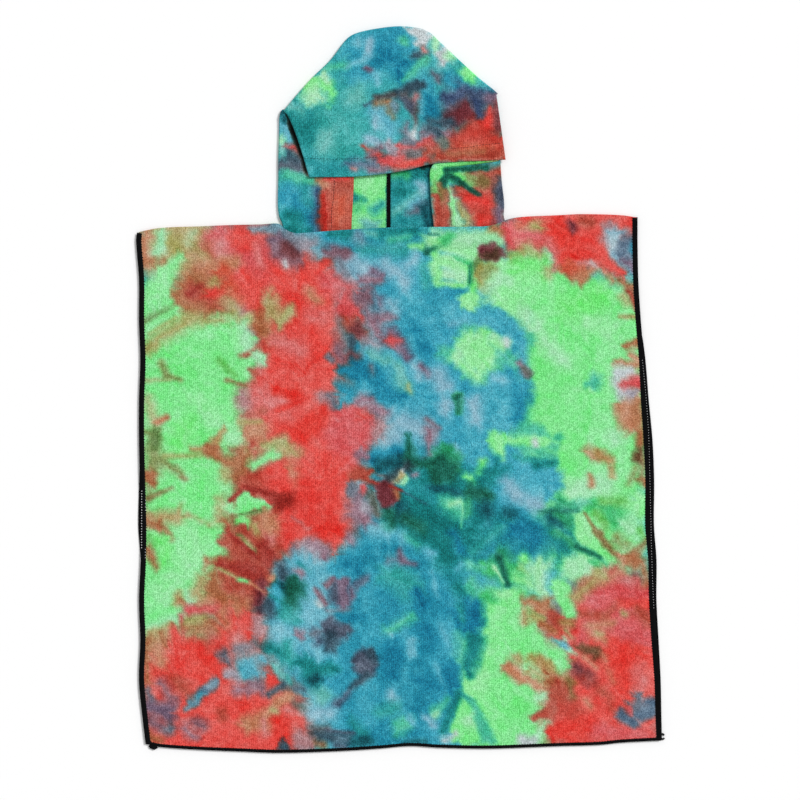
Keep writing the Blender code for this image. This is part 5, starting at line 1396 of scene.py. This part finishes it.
def raise_surface(tree, shader, height, strength, distance):
    """Bump a shader's surface by a height; distance is in metres."""
    values = {"Strength": strength, "Distance": distance}
    bump = add_node(tree, "ShaderNodeBump", values, {"Height": height})
    tree.links.new(bump.outputs["Normal"], shader.inputs["Normal"])


def towelling_material(dyed, pile):
    """Tie-dyed towelling: dye doses from the piece's own attribute, pile in the bump."""
    made, shader = plain_material("tie_dyed_towelling", (0.5, 0.5, 0.5), 0.95)
    tree = made.node_tree
    doses = tree.nodes.new("ShaderNodeAttribute")
    doses.attribute_name = "dye"
    loops = tree.nodes.new("ShaderNodeGroup")
    loops.node_tree = pile
    colour = tree.nodes.new("ShaderNodeGroup")
    colour.node_tree = dyed
    tree.links.new(doses.outputs["Color"], colour.inputs["Dye"])
    tree.links.new(doses.outputs["Alpha"], colour.inputs["Yellow Dye"])
    tree.links.new(loops.outputs["Loop Tone"], colour.inputs["Loop Tone"])
    tree.links.new(colour.outputs["Color"], shader.inputs["Base Color"])
    raise_surface(tree, shader, loops.outputs["Height"], 0.55, 0.0005)
    shader.inputs["Specular IOR Level"].default_value = 0.1
    shader.inputs["Sheen Weight"].default_value = 0.06
    shader.inputs["Sheen Roughness"].default_value = 0.6
    return made


def thread_material(name, colour, roughness):
    """Spun thread: one colour, uneven along its length, with its twist in the bump."""
    made, shader = plain_material(name, colour, roughness)
    tree = made.node_tree
    place = tree.nodes.new("ShaderNodeTexCoord").outputs["Object"]
    fibres = noise(tree, place, FIBRES_PER_METRE, 2.0)
    shade = tree.nodes.new("ShaderNodeValToRGB")
    shade.color_ramp.elements[0].color = (*(c * 0.6 for c in colour), 1.0)
    shade.color_ramp.elements[1].color = (*(c * 1.5 for c in colour), 1.0)
    tree.links.new(fibres, shade.inputs["Fac"])
    tree.links.new(shade.outputs["Color"], shader.inputs["Base Color"])
    raise_surface(tree, shader, fibres, 0.4, 0.0002)
    shader.inputs["Specular IOR Level"].default_value = 0.08
    return made


def scaled(tree, geometry, scales):
    """Geometry scaled along its three axes by sockets or numbers."""
    vector = tree.nodes.new("ShaderNodeCombineXYZ")
    for axis, scale in zip("XYZ", scales):
        if isinstance(scale, float):
            vector.inputs[axis].default_value = scale
        else:
            tree.links.new(scale, vector.inputs[axis])
    links = {"Geometry": geometry, "Scale": vector.outputs[0]}
    return add_node(tree, "GeometryNodeTransform", {}, links).outputs[0]


def level_curve(tree, geometry):
    """The path as a curve whose sideways direction stays level."""
    path = add_node(tree, "GeometryNodeMeshToCurve", {}, {"Mesh": geometry})
    return with_level_normals(tree, path.outputs[0])


def with_level_normals(tree, path):
    """A curve whose normals stay square to Z."""
    level = add_node(tree, "GeometryNodeSetCurveNormal", {}, {"Curve": path})
    level.mode = "Z_UP"
    return level.outputs[0]


def spaced_points(tree, path, pitch):
    """Points along a curve, one at each pitch."""
    points = tree.nodes.new("GeometryNodeCurveToPoints")
    points.mode = "LENGTH"
    tree.links.new(path, points.inputs["Curve"])
    tree.links.new(pitch, points.inputs["Length"])
    return points


def finish_tree(tree, geometries, material, target):
    """Join, realize, give the material and smooth shading, and put out."""
    join = tree.nodes.new("GeometryNodeJoinGeometry")
    for geometry in geometries:
        tree.links.new(geometry, join.inputs[0])
    real = add_node(tree, "GeometryNodeRealizeInstances", {}, {"Geometry": join.outputs[0]})
    smooth = add_node(tree, "GeometryNodeSetShadeSmooth", {}, {"Geometry": real.outputs[0]})
    links = {"Geometry": smooth.outputs[0], "Material": material}
    finish = add_node(tree, "GeometryNodeSetMaterial", {}, links)
    tree.links.new(finish.outputs[0], target.inputs["Geometry"])


def sewing_tree(name, sizes):
    """A geometry tree that takes a path, sizes in metres and a material, its inputs and its end."""
    tree = bpy.data.node_groups.new(name, "GeometryNodeTree")
    inputs = [("Geometry", "NodeSocketGeometry", None)]
    inputs += [(size, "NodeSocketFloat", value) for size, value in sizes.items()]
    inputs.append(("Material", "NodeSocketMaterial", None))
    source, target = group_sockets(tree, inputs, (("Geometry", "NodeSocketGeometry"),))
    return tree, source.outputs, target


def unit_ring(tree, sides):
    """A ring of radius 1 for the section of a thread."""
    values = {"Resolution": sides, "Radius": 1.0}
    return add_node(tree, "GeometryNodeCurvePrimitiveCircle", values, {}).outputs[0]


def thread_along(tree, path, ring):
    """A solid thread along a curve, with a ring for its section."""
    links = {"Curve": path, "Profile Curve": ring}
    return add_node(tree, "GeometryNodeCurveToMesh", {"Fill Caps": True}, links).outputs[0]


def overlock_tree():
    """Thread wrapped round a cloth edge: a core along the path and a turn of thread at each pitch."""
    tree, take, target = sewing_tree("overlocked_edge", {
        "Width": 0.0062,
        "Height": 0.001,
        "Pitch": 0.00107,
        "Thread Width": 0.0006,
        "Thread Height": 0.0003,
        "Short Turn": 0.77,
        "Unevenness": 0.09,
    })
    path = level_curve(tree, take["Geometry"])
    half_width = sums(tree, "MULTIPLY", take["Width"], 0.5)
    half_height = sums(tree, "MULTIPLY", take["Height"], 0.5)
    core_width = sums(tree, "MULTIPLY", half_width, CORE_SHARE)
    core_ring = scaled(tree, unit_ring(tree, 12), (core_width, half_height, half_width))
    core = thread_along(tree, path, core_ring)
    turn_values = {"Resolution": 10, "Rotations": 1.0, "Start Radius": 1.0, "End Radius": 1.0}
    turn = add_node(tree, "GeometryNodeCurveSpiral", turn_values, {"Height": take["Pitch"]})
    turn_path = scaled(tree, turn.outputs[0], (half_width, half_height, 1.0))
    thread_ring = scaled(tree, unit_ring(tree, 4), (take["Thread Height"], take["Thread Width"], 1.0))
    thread = thread_along(tree, with_level_normals(tree, turn_path), thread_ring)
    points = spaced_points(tree, path, take["Pitch"])
    number = tree.nodes.new("GeometryNodeInputIndex").outputs[0]
    third = sums(tree, "MODULO", number, 3.0)
    is_short = sums(tree, "GREATER_THAN", third, 0.5)
    shorten = sums(tree, "SUBTRACT", 1.0, take["Short Turn"])
    chance = add_node(tree, "FunctionNodeRandomValue", {"Seed": 3}, {})
    uneven = sums(tree, "MULTIPLY", chance.outputs["Value"], take["Unevenness"])
    missing = sums(tree, "MULTIPLY_ADD", is_short, shorten, uneven)
    width_scale = sums(tree, "SUBTRACT", 1.0, missing)
    shift = sums(tree, "MULTIPLY", missing, half_width)
    outward = vectors(tree, "SCALE", points.outputs["Normal"], scale=shift)
    links = {"Geometry": points.outputs["Points"], "Offset": outward}
    placed = add_node(tree, "GeometryNodeSetPosition", {}, links)
    scale = add_node(tree, "ShaderNodeCombineXYZ", {"Y": 1.0, "Z": 1.0}, {"X": width_scale})
    links = {
        "Points": placed.outputs[0],
        "Instance": thread,
        "Rotation": points.outputs["Rotation"],
        "Scale": scale.outputs[0],
    }
    turns = add_node(tree, "GeometryNodeInstanceOnPoints", {}, links)
    finish_tree(tree, (core, turns.outputs[0]), take["Material"], target)
    return tree


def stitch_tree():
    """A row of stitches along a path, each a short arch of thread."""
    tree, take, target = sewing_tree("stitch_row", {
        "Pitch": 0.0036,
        "Length": 0.0026,
        "Thread Width": 0.0004,
        "Arch": 0.0004,
    })
    path = level_curve(tree, take["Geometry"])
    half = sums(tree, "MULTIPLY", take["Length"], 0.5)
    back = sums(tree, "MULTIPLY", half, -1.0)
    rise = sums(tree, "MULTIPLY", take["Arch"], -1.0)
    start = add_node(tree, "ShaderNodeCombineXYZ", {}, {"Y": take["Arch"], "Z": back})
    middle = add_node(tree, "ShaderNodeCombineXYZ", {}, {"Y": rise})
    end = add_node(tree, "ShaderNodeCombineXYZ", {}, {"Y": take["Arch"], "Z": half})
    links = {"Start": start.outputs[0], "Middle": middle.outputs[0], "End": end.outputs[0]}
    arch = add_node(tree, "GeometryNodeCurveQuadraticBezier", {"Resolution": 5}, links)
    links = {"Radius": take["Thread Width"]}
    ring = add_node(tree, "GeometryNodeCurvePrimitiveCircle", {"Resolution": 6}, links)
    thread = thread_along(tree, arch.outputs[0], ring.outputs[0])
    points = spaced_points(tree, path, take["Pitch"])
    links = {
        "Points": points.outputs["Points"],
        "Instance": thread,
        "Rotation": points.outputs["Rotation"],
    }
    stitches = add_node(tree, "GeometryNodeInstanceOnPoints", {}, links)
    finish_tree(tree, (stitches.outputs[0],), take["Material"], target)
    return tree


def sewn(name, paths, tree, values):
    """A plain mesh piece made by a geometry tree along paths given in millimetres."""
    mesh = bpy.data.meshes.new(name + "_path")
    edges = []
    start = 0
    for path in paths:
        edges += [(start + k, start + k + 1) for k in range(len(path) - 1)]
        start += len(path)
    mesh.from_pydata(np.concatenate(paths) * MM, edges, [])
    piece = put_in(name, mesh)
    modifier = piece.modifiers.new("sewing", "NODES")
    modifier.node_group = tree
    for item in tree.interface.items_tree:
        if item.in_out == "INPUT" and item.name in values:
            modifier[item.identifier] = values[item.name]
    graph = bpy.context.evaluated_depsgraph_get()
    done = bpy.data.meshes.new_from_object(piece.evaluated_get(graph), depsgraph=graph)
    done.name = name
    piece.modifiers.remove(modifier)
    piece.data = done
    return piece


def front_edge_level(x, y):
    """Height of the middle of the front panel."""
    return FRONT_LEVEL + lift(x, y) + neck_rise(x, y) + CLOTH / 2


def back_edge_level(x, y):
    """Height of the middle of the back panel."""
    return np.full_like(x, BACK_EDGE_LEVEL)


def edge_paths(left, right, level, hem_inset):
    """Paths of the overlocking of one panel: down both sides, and along the hem."""
    inset = OVERLOCK_WIDTH / 2 - OVERLOCK_OUT
    y = np.linspace(TOP_EDGE[0][1] + LEFT_TOP_OVER, HEM_EDGE[0][1] + HEM_CORNER, EDGE_STEPS)
    left_x = left(y) + inset
    left_path = np.stack([left_x, y, level(left_x, y)], axis=1)
    y = np.linspace(HEM_EDGE[-1][1] + HEM_CORNER, TOP_EDGE[-1][1] - RIGHT_TOP_SHORT, EDGE_STEPS)
    right_x = right(y) - inset
    right_path = np.stack([right_x, y, level(right_x, y)], axis=1)
    x = np.linspace(HEM_EDGE[0][0] + HEM_END_SHORT, HEM_EDGE[-1][0] - HEM_END_SHORT, EDGE_STEPS)
    hem_y = curve(HEM_EDGE, 1, x) + hem_inset + HEM_OVERLOCK_WIDTH / 2 - OVERLOCK_OUT
    hem_path = np.stack([x, hem_y, level(x, hem_y)], axis=1)
    return [left_path, right_path], [hem_path]


def overlocked(name, paths, tree, thread, size, loose=False):
    """An overlocked piece along paths; size is its width, and its height if not the usual one."""
    values = {"Material": thread, "Width": size[0] * MM}
    if len(size) > 1:
        values["Height"] = size[1] * MM
    if loose:
        values["Short Turn"] = LOOSE_SHORT_TURN
    return sewn(name, paths, tree, values)


def build_overlocking(thread):
    """The black overlocking of both panels and the hood's seam, and the thread left at two corners."""
    tree = overlock_tree()
    side_size = (OVERLOCK_WIDTH - OVERLOCK_THREAD,)
    hem_size = (HEM_OVERLOCK_WIDTH - OVERLOCK_THREAD,)
    pieces = []
    for panel, left, right, level, hem_inset in (
        ("front", front_left, front_right, front_edge_level, 0.0),
        ("back", back_left, back_right, back_edge_level, BACK_INSET),
    ):
        side_paths, hem_paths = edge_paths(left, right, level, hem_inset)
        pieces.append(overlocked(panel + "_side_overlocking", side_paths, tree, thread, side_size))
        pieces.append(overlocked(panel + "_hem_overlocking", hem_paths, tree, thread, hem_size))
    knot = [path_points(KNOT_PATH, 12)]
    pieces.append(overlocked("hem_thread_knot", knot, tree, thread, KNOT_SIZE, loose=True))
    loops = [path_points(path, 6) for path in CORNER_LOOP_PATHS]
    pieces.append(overlocked("corner_thread_loops", loops, tree, thread, CORNER_LOOP_SIZE, loose=True))
    seam = [path_points([(x, y, SEAM_LEVEL) for x, y in SEAM_LINE], 120)]
    return pieces, overlocked("hood_seam_overlocking", seam, tree, thread, SEAM_SIZE)


def dot_tree():
    """Small purls of thread, evenly spaced along a path."""
    sizes = {"Pitch": 0.0032, "Dot Width": 0.0007, "Dot Height": 0.0003}
    tree, take, target = sewing_tree("purl_dots", sizes)
    values = {"Segments": 8, "Rings": 5, "Radius": 1.0}
    ball = add_node(tree, "GeometryNodeMeshUVSphere", values, {})
    dot = scaled(tree, ball.outputs[0], (take["Dot Width"], take["Dot Width"], take["Dot Height"]))
    points = spaced_points(tree, level_curve(tree, take["Geometry"]), take["Pitch"])
    links = {"Points": points.outputs["Points"], "Instance": dot}
    dots = add_node(tree, "GeometryNodeInstanceOnPoints", {}, links)
    finish_tree(tree, (dots.outputs[0],), take["Material"], target)
    return tree


def build_purl_highlights(thread):
    """Purls along the side overlocking of the front panel, pale grey: a painted highlight on the black
    thread.
    """
    tree = dot_tree()
    pieces = []
    for name, table, width in PURLS:
        paths = []
        for points in table:
            along = path_points([(x, y, 0.0) for x, y in points], 60)
            along[:, 2] = front_edge_level(along[:, 0], along[:, 1]) + PURL_RISE
            paths.append(along)
        pieces.append(sewn(name, paths, tree, {"Dot Width": width * MM, "Material": thread}))
    return pieces


def laid_on(piece, points):
    """A path in millimetres, dropped on to the top of a piece."""
    corners = [v.co for v in piece.data.vertices]
    surface = BVHTree.FromPolygons(corners, [f.vertices for f in piece.data.polygons])
    down = Vector((0.0, 0.0, -1.0))
    along = path_points([(x, y, 0.0) for x, y in points], 60)
    for place in along:
        found = surface.ray_cast(Vector((place[0] * MM, place[1] * MM, 0.1)), down)[0]
        place[2] = found.z / MM + STITCH_RISE
    return along


def build_stitches(hood, front, thread):
    """Rows of stitches in the hood's brim and face edges, and a few at the neckline."""
    tree = stitch_tree()
    values = {"Thread Width": STITCH_THREAD * MM, "Length": STITCH_LENGTH * MM, "Material": thread}
    pieces = []
    for name, cloth, table in (
        ("hood_stitches", hood, HOOD_STITCHES),
        ("neck_stitches", front, NECK_STITCHES),
    ):
        paths = [laid_on(cloth, points) for points in table]
        pieces.append(sewn(name, paths, tree, values))
    return pieces


def place_camera():
    """The camera straight above, its frame 960 mm wide at the cloth."""
    lens = bpy.data.cameras.new("camera")
    lens.lens = 100.0
    lens.sensor_width = 36.0
    lens.clip_end = 100.0
    camera = put_in("camera", lens)
    camera.location = (0.84 * MM, -12.6 * MM, 2.671)
    bpy.context.scene.camera = camera


def add_light(name, place, spread, strength):
    """Even light from one direction, towards the middle of the poncho; spread is in degrees."""
    lamp = bpy.data.lights.new(name, "SUN")
    lamp.angle = math.radians(spread)
    lamp.energy = strength
    light = put_in(name, lamp)
    light.location = place
    light.rotation_euler = (-light.location).to_track_quat("-Z", "Y").to_euler()


def place_studio():
    """Pale floor, a soft key light from the upper right and an even surround."""
    add_light("key", (1.3, 0.9, 1.5), 16.0, 2.3)
    world = bpy.data.worlds.new("surround")
    world.use_nodes = True
    background = world.node_tree.nodes["Background"]
    background.inputs["Color"].default_value = (1.0, 1.0, 1.0, 1.0)
    background.inputs["Strength"].default_value = 0.55
    bpy.context.scene.world = world
    mesh = bpy.data.meshes.new("floor")
    half = 6.0
    level = -0.0002
    corners = [(-half, -half, level), (half, -half, level), (half, half, level), (-half, half, level)]
    mesh.from_pydata(corners, [], [(0, 1, 2, 3)])
    mesh.materials.append(plain_material("pale_floor", (0.95, 0.95, 0.95), 0.9)[0])
    put_in("floor", mesh)
    bpy.context.scene.view_settings.view_transform = "Standard"


def main():
    """Build, dress and light every piece, and hand the scene over."""
    place_camera()
    towelling = towelling_material(dyed_cloth_group(), towelling_pile_group())
    overlock_thread = thread_material("black_overlock_thread", (0.003, 0.003, 0.0035), 0.8)
    # Painted highlight: the purls' pale grey stands in for light catching the black overlocking.
    purl_painted_highlight = thread_material("grey_purl_painted_highlight", (0.62, 0.62, 0.63), 0.8)
    sewing_thread = thread_material("dark_sewing_thread", (0.012, 0.02, 0.022), 0.8)
    front = build_front_panel(towelling)
    back = build_back_panel(towelling)
    hood = build_hood(towelling)
    sewing, seam_overlock = build_overlocking(overlock_thread)
    sewing += build_purl_highlights(purl_painted_highlight)
    sewing += build_stitches(hood, front, sewing_thread)
    for piece, node, slot in (
        (front, "front_panel", "towelling"),
        (back, "back_panel", "towelling"),
        (hood, "hood", "towelling"),
        (seam_overlock, "hood_back_seam", "overlock"),
    ):
        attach(piece, "root")
        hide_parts(node)
    for piece in sewing:
        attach(piece, "root")
    place_studio()


main()
